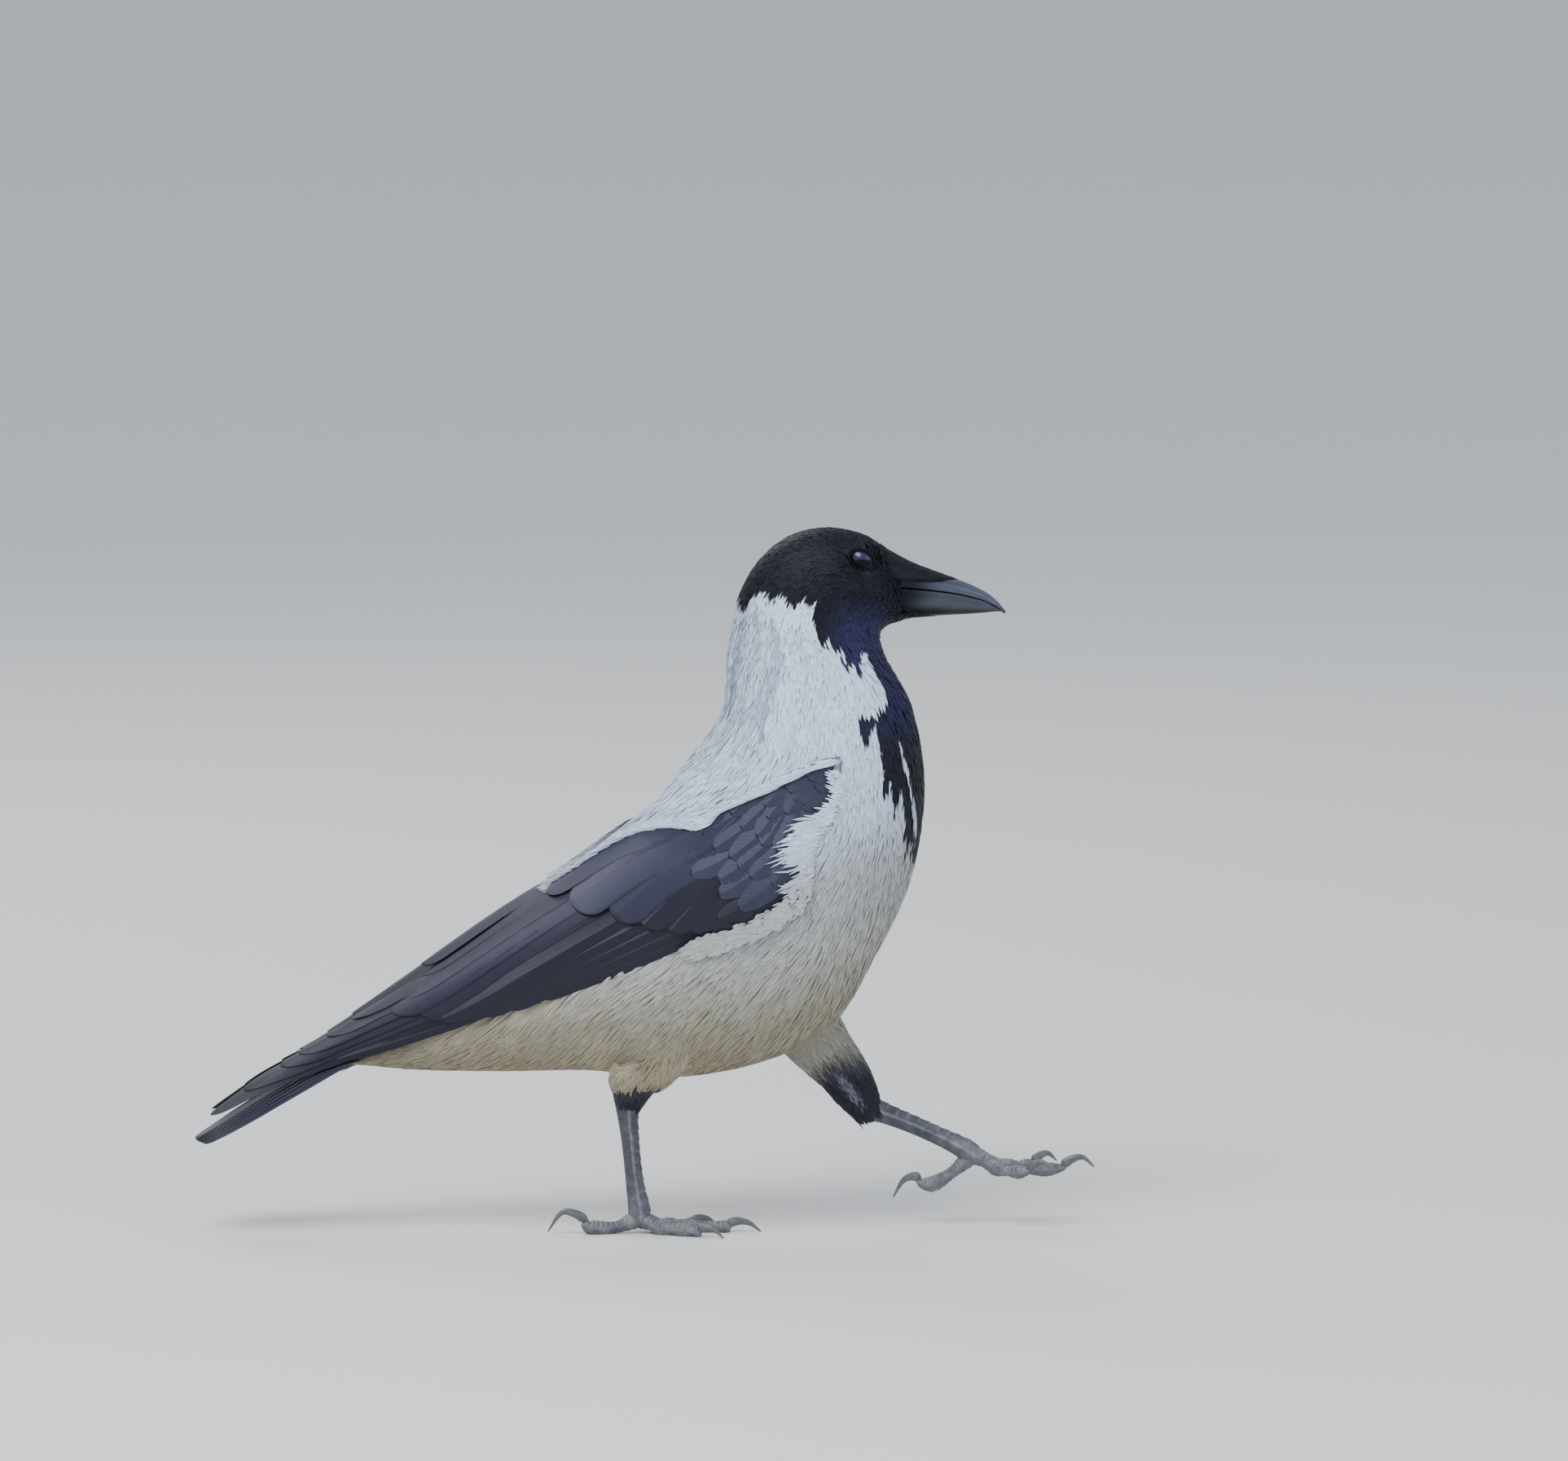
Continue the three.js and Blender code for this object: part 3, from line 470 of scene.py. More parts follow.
# The upper bill's ridge: half width, height, where it starts and ends. Its groove: place in the height,
# half width, depth, where it ends.
RIDGE_HALF, RIDGE_HIGH, RIDGE_START, RIDGE_END = 1.6, 0.35, (119, 135), (165, 174)
GROOVE_AT, GROOVE_HALF, GROOVE_DEEP, GROOVE_END = 0.24, 0.09, 0.3, (158, 168)
# The eye's markings, pupil's edge and iris's edge, and the height over which its painted reflection of
# the sky comes in.
PUPIL_EDGE, IRIS_EDGE, PAINTED_SKY_RISE = (2.9, 3.3), (4.2, 5.0), (0.0, 1.3)
# The lid's section from the ball outwards: share of the opening, height over the lids' level.
LID_SECTION = [
    (0.985, -0.5), (0.975, 0.2), (1.015, 0.42), (1.06, 0.34), (1.1, 0.12), (1.14, 0.18), (1.19, 0.05),
    (1.25, -0.3), (1.25, -1.6), (1.05, -1.9),
]

# ---------------------------------------------------------------- camera and light, in metres
# The camera's angle over the floor, its distance, how wide it sees there, and what it looks at.
VIEW_RISE = math.radians(6.5)
VIEW_FAR = 7.0
VIEW_WIDE = 0.741
AIM = Vector((0.0658, 0, 0.2393))
SENSOR = 36
# How far the floor reaches to the sides and to the back, and the radius with which it then rises.
FLOOR_HALF = 9.0
FLOOR_BACK = 8.5
FLOOR_CURVE = 8
FLOOR_COLOUR = (0.72, 0.71, 0.69, 1)
SKY_COLOUR, SKY_STRENGTH = (0.80, 0.88, 1.0, 1), 0.88
# Lamps: name, place, size, power.
LAMPS = [
    ("key", (-0.9, -1.6, 2.3), 1.5, 72),
    ("fill", (1.9, -1.5, 1.2), 1.6, 12),
    ("rim", (-0.8, 1.7, 1.7), 1.2, 18),
]
LAMPS_AIM = (0, 0, 0.18)


def to_row(points):
    """The part's millimetres to the row's metres."""
    return (np.asarray(points, float) + ROW_SHIFT) / 1000


# ---------------------------------------------------------------- curves and surfaces
def curve(rows, t):
    """A catmull-rom curve through rows of numbers, at t from 0 to 1."""
    rows = np.asarray(rows, float)
    padded = np.vstack([2 * rows[0] - rows[1], rows, 2 * rows[-1] - rows[-2]])
    place = np.clip(np.asarray(t, float), 0, 1) * (len(rows) - 1)
    first = np.minimum(place.astype(int), len(rows) - 2)
    w = (place - first)[..., None]
    before, start, end, after = (padded[first + k] for k in range(4))
    leave, enter = (end - before) / 2, (after - start) / 2
    return (
        start
        + w * leave
        + w**2 * (3 * (end - start) - 2 * leave - enter)
        + w**3 * (2 * (start - end) + leave + enter)
    )


def circle(count):
    """Angles evenly around a ring."""
    return np.linspace(0, 2 * math.pi, count, endpoint=False)


def run_length(path):
    """The way along a path to each of its points."""
    return np.concatenate([[0], np.cumsum(np.linalg.norm(np.diff(path, axis=0), axis=1))])


def limb_rows(table, label, count, last=1):
    """Rows along a limb on one side of the body, up to the share `last` of its length."""
    return curve(table[label], np.linspace(0, last, count)) * [1, SIDES[label], 1, 1, 1]


def unit(vectors):
    return vectors / np.maximum(np.linalg.norm(vectors, axis=-1, keepdims=True), 1e-9)


def smooth(low, high, value):
    """0 at low, 1 at high, eased; low may be the larger."""
    share = np.clip((np.asarray(value, float) - low) / (high - low), 0, 1)
    return share * share * (3 - 2 * share)


def bell(value, middle, half):
    """1 at the middle, falling away on both sides over about `half`."""
    return np.exp(-(((value - middle) / half) ** 2))


def bend(value, squareness):
    return np.sign(value) * np.abs(value) ** (2 / squareness)


def ring_grid(rows, along, around, squareness):
    """Rings through back and belly points in the midplane, first row to last."""
    place = curve(rows, np.linspace(0, 1, along))
    zeros = np.zeros(along)
    back = np.stack([place[:, 0], zeros, place[:, 1]], 1)[:, None]
    belly = np.stack([place[:, 2], zeros, place[:, 3]], 1)[:, None]
    middle = back + (belly - back) * place[:, None, 5:6]
    up = unit(back - belly)
    angle = circle(around)[None, :, None]
    rise = bend(np.cos(angle), squareness)
    reach = np.where(
        rise > 0,
        np.linalg.norm(back - middle, axis=2, keepdims=True),
        np.linalg.norm(belly - middle, axis=2, keepdims=True),
    )
    grid = middle + up * rise * reach
    grid[..., 1] = (bend(np.sin(angle), squareness) * place[:, None, 4:5])[..., 0]
    return grid


def limb_grid(path, deep, wide, around):
    """Rings of a round limb about a path: `deep` fore and aft, `wide` sideways."""
    tangent = unit(np.gradient(path, axis=0))
    across = unit(np.array([0, 1, 0]) - tangent * tangent[:, 1:2])
    front = np.cross(tangent, across)
    angle = circle(around)[None, :, None]
    deep = np.broadcast_to(deep, len(path))[:, None, None]
    wide = np.broadcast_to(wide, len(path))[:, None, None]
    fore, side = front[:, None] * deep, across[:, None] * wide
    return path[:, None] + fore * np.cos(angle) + side * np.sin(angle)


class Surface:
    """A grid of points that can be read between its lines: u runs with the lie of the coat, v across.

    Beyond its ends in u, and across an open edge in v, it goes on straight. Where `over` is given, one
    direction for each row, it bends round to that direction past the edge at v = 0.
    """

    def __init__(self, grid, wraps, outward, over=None):
        self.grid = grid
        self.over = over
        self.rows, self.columns = grid.shape[:2]
        self.wraps = wraps
        self.along = np.gradient(grid, axis=0) * (self.rows - 1)
        if wraps:
            self.across = (np.roll(grid, -1, 1) - np.roll(grid, 1, 1)) / 2 * self.columns
        else:
            self.across = np.gradient(grid, axis=1) * (self.columns - 1)
        normal = unit(np.cross(self.along, self.across))
        facing = outward(grid, normal)
        self.normal = normal * (1 if facing > 0 else -1)

    def _mix(self, field, u, v):
        row = np.clip(u, 0, 1) * (self.rows - 1)
        i = np.minimum(row.astype(int), self.rows - 2)
        wu = (row - i)[..., None]
        if self.wraps:
            column = (v % 1) * self.columns
            j = np.minimum(column.astype(int), self.columns - 1)
            after = (j + 1) % self.columns
        else:
            column = np.clip(v, 0, 1) * (self.columns - 1)
            j = np.minimum(column.astype(int), self.columns - 2)
            after = j + 1
        wv = (column - j)[..., None]
        near = field[i, j] * (1 - wv) + field[i, after] * wv
        far = field[i + 1, j] * (1 - wv) + field[i + 1, after] * wv
        return near * (1 - wu) + far * wu

    def read(self, u, v):
        """Points, normals and derivatives along u and v."""
        along = self._mix(self.along, u, v)
        across = self._mix(self.across, u, v)
        point = self._mix(self.grid, u, v) + along * (u - np.clip(u, 0, 1))[..., None]
        facing = unit(self._mix(self.normal, u, v))
        if not self.wraps:
            beyond = (v - np.clip(v, 0, 1))[..., None]
            step = across * beyond
            if self.over is not None:
                row = (np.clip(u, 0, 1) * (self.rows - 1)).astype(int)
                reach = np.linalg.norm(across, axis=-1, keepdims=True) * np.maximum(0, -beyond)
                first, last = -unit(across), self.over[row]
                curved = np.minimum(reach, FOLD_BEND)
                turned = curved**2 / 2 / FOLD_BEND
                folded = first * (curved - turned) + last * (turned + reach - curved)
                step = np.where(beyond < 0, folded, step)
                share = curved / FOLD_BEND
                forward = unit(first * (1 - share) + last * share)
                leaning = (facing * forward).sum(-1, keepdims=True)
                facing = unit(facing - forward * leaning * (beyond < 0))
            point = point + step
        return point, facing, along, across

    def walk(self, u0, v0, ahead, aside):
        """(u, v) after going `ahead` and `aside` millimetres from (u0, v0)."""
        _, _, along, _ = self.read(u0, v0)
        half = u0 + ahead / 2 / np.linalg.norm(along, axis=-1)
        _, _, along, _ = self.read(half, v0)
        u = u0 + ahead / np.linalg.norm(along, axis=-1)
        _, _, _, across = self.read(u, v0)
        return u, v0 + aside / np.maximum(np.linalg.norm(across, axis=-1), 6)


def away_from_axis(grid, normal):
    return (normal * (grid - grid.mean(1, keepdims=True))).sum()


# ---------------------------------------------------------------- meshes
def put(name, data):
    """A new object in the scene."""
    thing = bpy.data.objects.new(name, data)
    bpy.context.scene.collection.objects.link(thing)
    return thing


def link(name, vertices, faces):
    """A smooth mesh object from the part's millimetres. faces is an array of triangles or quads."""
    mesh = bpy.data.meshes.new(name)
    faces = np.asarray(faces, np.int32)
    corners = faces.shape[1]
    mesh.vertices.add(len(vertices))
    mesh.vertices.foreach_set("co", to_row(vertices).astype(np.float32).ravel())
    mesh.loops.add(faces.size)
    mesh.loops.foreach_set("vertex_index", faces.ravel())
    mesh.polygons.add(len(faces))
    mesh.polygons.foreach_set("loop_start", np.arange(0, faces.size, corners, dtype=np.int32))
    mesh.polygons.foreach_set("use_smooth", np.ones(len(faces), bool))
    mesh.update(calc_edges=True)
    mesh.validate()
    return put(name, mesh)


def paint(thing, name, values):
    """A per-vertex colour that the materials read."""
    mesh = thing.data
    layer = mesh.color_attributes.new(name, "FLOAT_COLOR", "POINT")
    colour = np.ones((len(mesh.vertices), 4), np.float32)
    colour[:, :3] = values
    layer.data.foreach_set("color", colour.ravel())


def face_out(thing, normals):
    """Shades a piece by the given directions, one per vertex, in place of its faces' own."""
    normals = unit(np.asarray(normals, float)).astype(np.float32)
    thing.data.normals_split_custom_set_from_vertices(normals)


def unwrap(thing, name, places):
    """A UV map from one place per vertex."""
    mesh = thing.data
    layer = mesh.uv_layers.new(name=name)
    corner = np.zeros(len(mesh.loops), np.int32)
    mesh.loops.foreach_get("vertex_index", corner)
    layer.uv.foreach_set("vector", np.asarray(places, np.float32)[corner].ravel())


def finish_piece(thing, looks, replaced=()):
    """Gives a piece its looks and its place in the row, instead of the nodes that it replaces."""
    thing.data.materials.append(looks)
    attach(thing, "root")
    if replaced:
        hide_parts(*replaced)


def tube_faces(rows, columns):
    """Quads of a grid whose columns close around."""
    i, j = np.meshgrid(np.arange(rows - 1), np.arange(columns), indexing="ij")
    after = (j + 1) % columns
    low, high = i * columns, (i + 1) * columns
    return np.stack([low + j, low + after, high + after, high + j], -1).reshape(-1, 4)


def turned_out(vertices, triangles):
    """The triangles of a closed shape, all facing outwards."""
    a, b, c = (vertices[triangles[:, k]] for k in range(3))
    volume = (a * np.cross(b, c)).sum()
    return triangles if volume > 0 else triangles[:, ::-1]


def capped_tube(grid):
    """Vertices and triangles of a grid of rings, closed at both ends by a middle point."""
    rows, columns = grid.shape[:2]
    vertices = np.vstack([grid.reshape(-1, 3), grid[0].mean(0), grid[-1].mean(0)])
    quads = tube_faces(rows, columns)
    triangles = np.vstack([quads[:, [0, 1, 2]], quads[:, [0, 2, 3]]])
    j = np.arange(columns)
    after = (j + 1) % columns
    start, end = rows * columns, rows * columns + 1
    last = (rows - 1) * columns
    low = np.stack([after, j, np.full(columns, start)], 1)
    high = np.stack([last + j, last + after, np.full(columns, end)], 1)
    return vertices, turned_out(vertices, np.vstack([triangles, low, high]))


# ---------------------------------------------------------------- surfaces of the crow
def set_round_eyes(points):
    """Brings the head's side towards the plane of the lids around either eye."""
    away = np.hypot(points[..., 0] - EYE_AT[0], (points[..., 2] - EYE_AT[2]) * SOCKET_LOW)
    share = (1 - smooth(SOCKET_FROM, SOCKET_TO, away)) * (np.abs(points[..., 1]) > 6)
    shift = np.clip(LID_LEVEL - np.abs(points[..., 1]), -SOCKET_PUSH, SOCKET_PUSH)
    points[..., 1] += np.sign(points[..., 1]) * shift * share
    return points


body_grid = ring_grid(BODY, along=260, around=240, squareness=BODY_SQUARENESS)[::-1]
body = Surface(set_round_eyes(body_grid), wraps=True, outward=away_from_axis)
nose_grid = ring_grid(BRISTLES, along=60, around=90, squareness=2)
nose = Surface(nose_grid, wraps=True, outward=away_from_axis)
bill_grid = ring_grid(BILL_LOWER, along=60, around=72, squareness=BILL_SQUARENESS)
lower_bill = Surface(bill_grid, wraps=True, outward=away_from_axis)


def thigh_surface(label):
    rows = limb_rows(THIGH, label, 70)
    grid = limb_grid(rows[:, :3], rows[:, 3], rows[:, 4], around=80)
    return Surface(grid, wraps=True, outward=away_from_axis)


def off_the_body(points, rise):
    """Moves points out along the body's own normals, by `rise` millimetres each."""
    grid, normal = body.grid.reshape(-1, 3), body.normal.reshape(-1, 3)
    nearest = [np.linalg.norm(grid - point, axis=1).argmin() for point in points]
    return points + normal[nearest] * np.array(rise, float)[:, None]


def wing_surface(side):
    """The outside of a folded wing: u from the shoulder to the tip, v from its upper edge down."""
    rows = np.array(WING, float)
    rows[:, 0:3] = off_the_body(rows[:, 0:3], TOP_OUT)
    rows[:, 3:6] = off_the_body(rows[:, 3:6], LOW_OUT)
    rows[:, 6] -= BULGE_LESS * np.array(TOP_OUT)
    tops = rows[:, 0:3].copy()
    share = (np.arange(len(rows)) - OVERLAP_FROM) / (OVERLAP_TO - OVERLAP_FROM)
    riding = np.sin(np.pi * np.clip(share, 0, 1)) ** 0.7 * (side == LEFT)
    tops[:, 1] = side * (tops[:, 1] - OVERLAP_INWARD * riding)
    tops[:, 2] += OVERLAP_LIFT * riding
    t = np.linspace(0, 1, 300)
    top = curve(tops, t)
    low = curve(rows[:, 3:6] * [1, side, 1], t)
    bulge = curve(rows[:, 6:7], t)
    axis = unit((tops[-1] - tops[0]) * [1, 0, 1])
    width = np.linalg.norm(low - top, axis=1, keepdims=True)
    down = (low - top) / width
    out = unit(np.cross(down, axis))
    out *= np.sign(out[:, 1:2] * side)
    v = np.linspace(0, 1, 60)[None, :, None]
    flat = top[:, None] + (down * width)[:, None] * v
    grid = flat + out[:, None] * bulge[:, None] * 4 * v * (1 - v)
    over = np.tile(unit(np.array([0, -side, -FOLD_DROP[side]])), (len(t), 1))
    return Surface(grid, False, lambda points, normal: (normal * out[:, None]).sum(), over)


def tail_mid_z(x):
    way = x - TAIL_TIP_X
    return TAIL_TIP_Z + TAIL_RISE * way - TAIL_SAG * way * way


def tail_surface():
    """The tail's upper side: u from its root to its tip, v from its right edge to its left."""
    along, across = 120, 60
    rows = curve(TAIL, np.linspace(0, 1, along))
    v = np.linspace(-1, 1, across)[None, :]
    x = np.broadcast_to(rows[:, 0:1], (along, across))
    grid = np.stack([x, v * rows[:, 1:2], tail_mid_z(x) - rows[:, 2:3] * v**2], -1)
    return Surface(grid, False, lambda points, normal: normal[..., 2].sum())


# ---------------------------------------------------------------- markings
def inside(outline, x, z):
    """Whether (x, z) lies in a closed outline."""
    found = np.zeros(np.shape(x), bool)
    for (x0, z0), (x1, z1) in zip(outline, outline[1:] + outline[:1]):
        crosses = (z0 > z) != (z1 > z)
        rise = (z1 - z0) or 1e-9
        found ^= crosses & (x < x0 + (z - z0) * (x1 - x0) / rise)
    return found


def is_black(points):
    """The hood and bib."""
    x, z = points[..., 0], points[..., 2]
    return inside(HOOD_EDGE, x, z) & ~inside(BIB_SLIT, x, z)


def coat_colour(points, black):
    """The coat's colour, partly painted light: pale and cool above, warmer below, near black on the hood.
    """
    x, z = points[..., 0], points[..., 2]
    height = z - BREAST_RISE * np.maximum(0, x - BREAST_FROM)
    stops = GREY_BY_HEIGHT[:, 0]
    grey = np.stack([np.interp(height, stops, GREY_BY_HEIGHT[:, k]) for k in (1, 2, 3)], -1)
    # Painted shade: the nape is darkened towards the neck's rear edge.
    nape_shade = smooth(*NAPE_SHADE_X, x) * smooth(*NAPE_SHADE_Z, z)
    grey = grey * (1 - (1 - NAPE_SHADE_SHARE) * nape_shade)[..., None]
    # A painted blue sheen on the throat, stopping at the chin.
    throat = (smooth(*THROAT_X, x) * smooth(*THROAT_LOW, z) * (1 - smooth(*THROAT_HIGH, z)))[..., None]
    throat = throat * (1 - smooth(*CHIN_X, x) * smooth(*CHIN_Z, z))[..., None]
    bib = 1 + BIB_PALER * smooth(*BIB_Z, z)[..., None]
    dark = BLACK * bib * (1 - throat) + THROAT_PAINTED_SHEEN * throat
    return np.where(black[..., None], dark, grey)


# ---------------------------------------------------------------- soft feathers
def lock_faces():
    """Triangles of one lock: three-sided, closed at the root, pointed at the tip."""
    faces = [(0, 2, 1)]
    last = len(STATIONS) - 2
    for i in range(last):
        for j in range(3):
            a, b = 3 * i + j, 3 * i + (j + 1) % 3
            faces += [(a, b, b + 3), (a, b + 3, a + 3)]
    tip = 3 * (last + 1)
    faces += [(3 * last + j, 3 * last + (j + 1) % 3, tip) for j in range(3)]
    return np.array(faces)


LOCK_FACES = lock_faces()
STATION_OF_POINT = np.append(np.repeat(np.arange(len(STATIONS) - 1), 3), len(STATIONS) - 1)
LOCK_POINTS = 3 * (len(STATIONS) - 1) + 1
# Each point's place along its lock, and across it.
ALONG_LOCK = STATIONS[STATION_OF_POINT]
ACROSS_LOCK = np.append(np.tile([-0.5, 0, 0.5], len(STATIONS) - 1), 0.0)


class Coat:
    """Soft feathers, each a fan of narrow closed locks, gathered until they become meshes."""

    def __init__(self):
        self.points, self.colours, self.patches, self.black = [], [], [], []
        self.facings, self.strands = [], []

    def add(self, surface, u, v, length, width, locks, root, black=None, turn=0.0, tip=0.5, ragged=0.09,
            shade=0.03, shaft=0.0, tone_scale=1.0, cleared=None, steered=None):
        """Feathers from (u, v) on a surface, all lengths in mm and turns in radians.

        root and tip are heights over the surface. ragged and shade are spreads of the locks' lengths and
        tones. black says which are black, and without it the markings do. steered moves the places
        across the surface, and cleared moves the points off what they would run into.
        """
        count = len(u)
        if not count:
            return
        length = np.broadcast_to(length, count)[:, None]
        width = np.broadcast_to(width, count)[:, None]
        tip = np.broadcast_to(tip, count)[:, None, None]
        root = np.broadcast_to(root, count)[:, None, None]
        aside = np.linspace(-1, 1, locks)[None, :] if locks > 1 else np.zeros((1, 1))
        aside = aside + rng.normal(0, LOCK_STRAY / locks, (count, locks))
        spread = width / 2 * aside
        reach = length * (1 - 0.2 * aside**2 + rng.normal(0, ragged, (count, locks)))
        uu, vv = self.fan_out(surface, u, v, reach, spread, turn)
        if steered is not None:
            vv = steered(uu, vv)
        centre, normal, _, _ = surface.read(uu, vv)
        lift = rng.normal(0, LOCK_LIFT, (count, locks, 1)) * STATIONS
        domed = FEATHER_DOME * (width * aside**2)[..., None] * STATIONS
        height = root + (tip - root) * STATIONS**0.75 - domed + lift
        centre = centre + normal * height[..., None]
        if cleared is not None:
            centre = cleared(centre, height)
        spine = unit(np.gradient(centre, axis=2))
        lock_width = (width / locks * LOCK_WIDE)[..., None]
        self.shape(centre, normal, spine, lock_width, aside)
        self.colour(centre, spine, aside, black, shade, shaft, tone_scale)
        self.unroll(u, v, aside, reach, spread, lock_width)

    @staticmethod
    def fan_out(surface, u, v, reach, spread, turn):
        """Places on the surface along each lock, fanned out from the feathers' roots."""
        opening = 0.35 + 0.65 * np.sin(np.pi / 2 * np.minimum(1, STATIONS * 1.4))
        ahead = reach[..., None] * STATIONS
        sideways = spread[..., None] * (opening * (1 - 0.2 * STATIONS**4))
        turn = np.broadcast_to(turn, len(u))[:, None, None]
        angle = turn + rng.normal(0, LOCK_SWAY, (*reach.shape, 1)) * STATIONS
        forward = ahead * np.cos(angle) - sideways * np.sin(angle)
        sideways = ahead * np.sin(angle) + sideways * np.cos(angle)
        return surface.walk(
            np.broadcast_to(u[:, None, None], forward.shape),
            np.broadcast_to(v[:, None, None], forward.shape),
            forward,
            sideways,
        )

    def shape(self, centre, normal, spine, lock_width, aside):
        """Three-sided locks about their middle lines, shaded as one rounded feather."""
        count, locks = aside.shape
        side = unit(np.cross(normal, spine))
        half = lock_width * LOCK_PROFILE
        body_part = centre[:, :, :-1]
        left = body_part - side[:, :, :-1] * half[..., None]
        right = body_part + side[:, :, :-1] * half[..., None]
        ridge = body_part + normal[:, :, :-1] * (LOCK_THICK * LOCK_PROFILE)[None, None, :, None]
        sections = np.stack([left, ridge, right], 3).reshape(count, locks, -1, 3)
        points = np.concatenate([sections, centre[:, :, -1:]], 2)
        self.points.append(points.reshape(-1, LOCK_POINTS, 3))
        middle = normal + side * (FEATHER_ROUND * aside)[..., None, None]
        lean = side * LOCK_ROUND
        facing = np.stack([middle - lean, middle, middle + lean], 3)[:, :, :-1]
        facing = np.concatenate([facing.reshape(count, locks, -1, 3), middle[:, :, -1:]], 2)
        self.facings.append(facing.reshape(-1, LOCK_POINTS, 3))

    def colour(self, centre, spine, aside, black, shade, shaft, tone_scale):
        """Each lock takes the coat's colour near its tip. Grey ones that root in black start black."""
        count, locks = aside.shape
        marked = centre[:, :, 3] + spine[:, :, 3] * rng.normal(0, EDGE_STRAY, (count, locks, 1))
        rooted = np.zeros(centre.shape[:3], bool)
        if black is None:
            rooted = is_black(centre)
            black = is_black(marked) | (rooted[:, :, 2] & (rng.random((count, locks)) < SPIKE_SHARE))
        per_feather = locks if np.ndim(black) == 2 else 1
        black = np.broadcast_to(np.reshape(black, (-1, per_feather)), (count, locks))
        tone = np.repeat(coat_colour(marked, black)[:, :, None], len(STATIONS), 2)
        tone = np.where((rooted & ~black[..., None])[..., None], BLACK, tone)
        vary = 1 + rng.normal(0, shade, (count, 1, 1)) + rng.normal(0, shade, (count, locks, 1))
        middle = bell(aside * locks, 0, 1.2)[..., None]
        vary = vary * (1 - shaft * middle)
        fade = DOWN_SHARE + (1 - DOWN_SHARE) * smooth(0, 0.5, ALONG_LOCK)
        tone = tone * np.reshape(tone_scale, (-1, 1, 1, 3 if np.ndim(tone_scale) == 2 else 1))
        tone = (tone * vary[:, :, None])[:, :, STATION_OF_POINT]
        tone = np.clip(tone * fade[:, None], DARKEST, 1)
        self.colours.append(tone.reshape(-1, LOCK_POINTS, 3))
        self.black.append(black.ravel())

    def unroll(self, u, v, aside, reach, spread, lock_width):
        """The maps: a patch for each lock where it roots, and its place in the run of the strands."""
        locks = aside.shape[1]
        place_u = MAP_EDGE + MAP_SPAN * np.clip(u, 0, 1)[:, None, None] + LOCK_PATCH * (ALONG_LOCK - 0.5)
        beside = (aside[..., None] + ACROSS_LOCK / locks) / 2
        place_v = MAP_EDGE + MAP_SPAN * (v % 1)[:, None, None] + LOCK_PATCH * beside
        place_u = np.broadcast_to(place_u, place_v.shape)
        self.patches.append(np.stack([place_v, place_u], -1).reshape(-1, LOCK_POINTS, 2))
        beside = spread[..., None] + ACROSS_LOCK * 2 * lock_width
        beside = beside + rng.random((len(u), 1, 1)) * STRANDS_ROLL
        ahead = reach[..., None] * ALONG_LOCK
        strands = np.stack([np.broadcast_to(beside, ahead.shape), ahead], -1) / MAP_UNIT
        self.strands.append(strands.reshape(-1, LOCK_POINTS, 2))

    def build(self, name):
        """Meshes of the black and of the grey locks, each under 200,000 triangles."""
        gathered = (self.points, self.colours, self.patches, self.black, self.facings, self.strands)
        points, colours, patches, black, facings, strands = (np.concatenate(part) for part in gathered)
        made = []
        for word, slot, chosen in (("black", "black_plumage", black), ("grey", "grey_plumage", ~black)):
            index = np.flatnonzero(chosen)
            index = index[np.argsort(points[index, -1, 2] + 0.3 * points[index, -1, 0])]
            pieces = max(1, math.ceil(len(index) / LOCKS_PER_MESH))
            for number, part in enumerate(np.array_split(index, pieces)):
                lock = turned_out(points[part[0]] - points[part[0], 0], LOCK_FACES)
                firsts = np.arange(len(part)) * LOCK_POINTS
                faces = (lock[None] + firsts[:, None, None]).reshape(-1, 3)
                thing = link(f"{name}_{word}_{number + 1}", points[part].reshape(-1, 3), faces)
                paint(thing, "tint", colours[part].reshape(-1, 3))
                unwrap(thing, "OFBake", patches[part].reshape(-1, 2))
                unwrap(thing, "strands", strands[part].reshape(-1, 2))
                face_out(thing, facings[part].reshape(-1, 3))
                made.append((thing, slot))
        return made


def scatter(surface, spacing, keep, low=0.0, high=1.0):
    """Places on a surface that stand at least `spacing` apart, where keep(points, normals) is true."""
    rows, columns = surface.rows, surface.columns
    area = np.linalg.norm(np.cross(surface.along, surface.across), axis=2) / rows / columns
    u_grid = np.repeat(np.linspace(0, 1, rows)[:, None], columns, 1)
    area = area * ((u_grid >= low) & (u_grid <= high))
    weights = area.ravel() / area.sum()
    count = int(area.sum() / spacing**2 * TRIES)
    cells = rng.choice(weights.size, count, p=weights)
    gaps = columns if surface.wraps else columns - 1
    u = (cells // columns + rng.random(count) - 0.5) / (rows - 1)
    v = (cells % columns + rng.random(count) - 0.5) / gaps
    u = np.clip(u, 0, 1)
    points, normals, _, _ = surface.read(u, v)
    good = keep(points, normals)
    u, v, points = u[good], v[good], points[good]
    taken, chosen = {}, []
    near = [(i, j, k) for i in (-1, 0, 1) for j in (-1, 0, 1) for k in (-1, 0, 1)]
    gap = (spacing * CROWDED) ** 2
    cell_of = np.floor(points / spacing).astype(int).tolist()
    places = points.tolist()
    for i, (a, b, c) in enumerate(cell_of):
        x, y, z = places[i]
        crowded = False
        for da, db, dc in near:
            for px, py, pz in taken.get((a + da, b + db, c + dc), ()):
                if (px - x) ** 2 + (py - y) ** 2 + (pz - z) ** 2 < gap:
                    crowded = True
                    break
            if crowded:
                break
        if not crowded:
            taken.setdefault((a, b, c), []).append((x, y, z))
            chosen.append(i)
    return u[chosen], v[chosen]


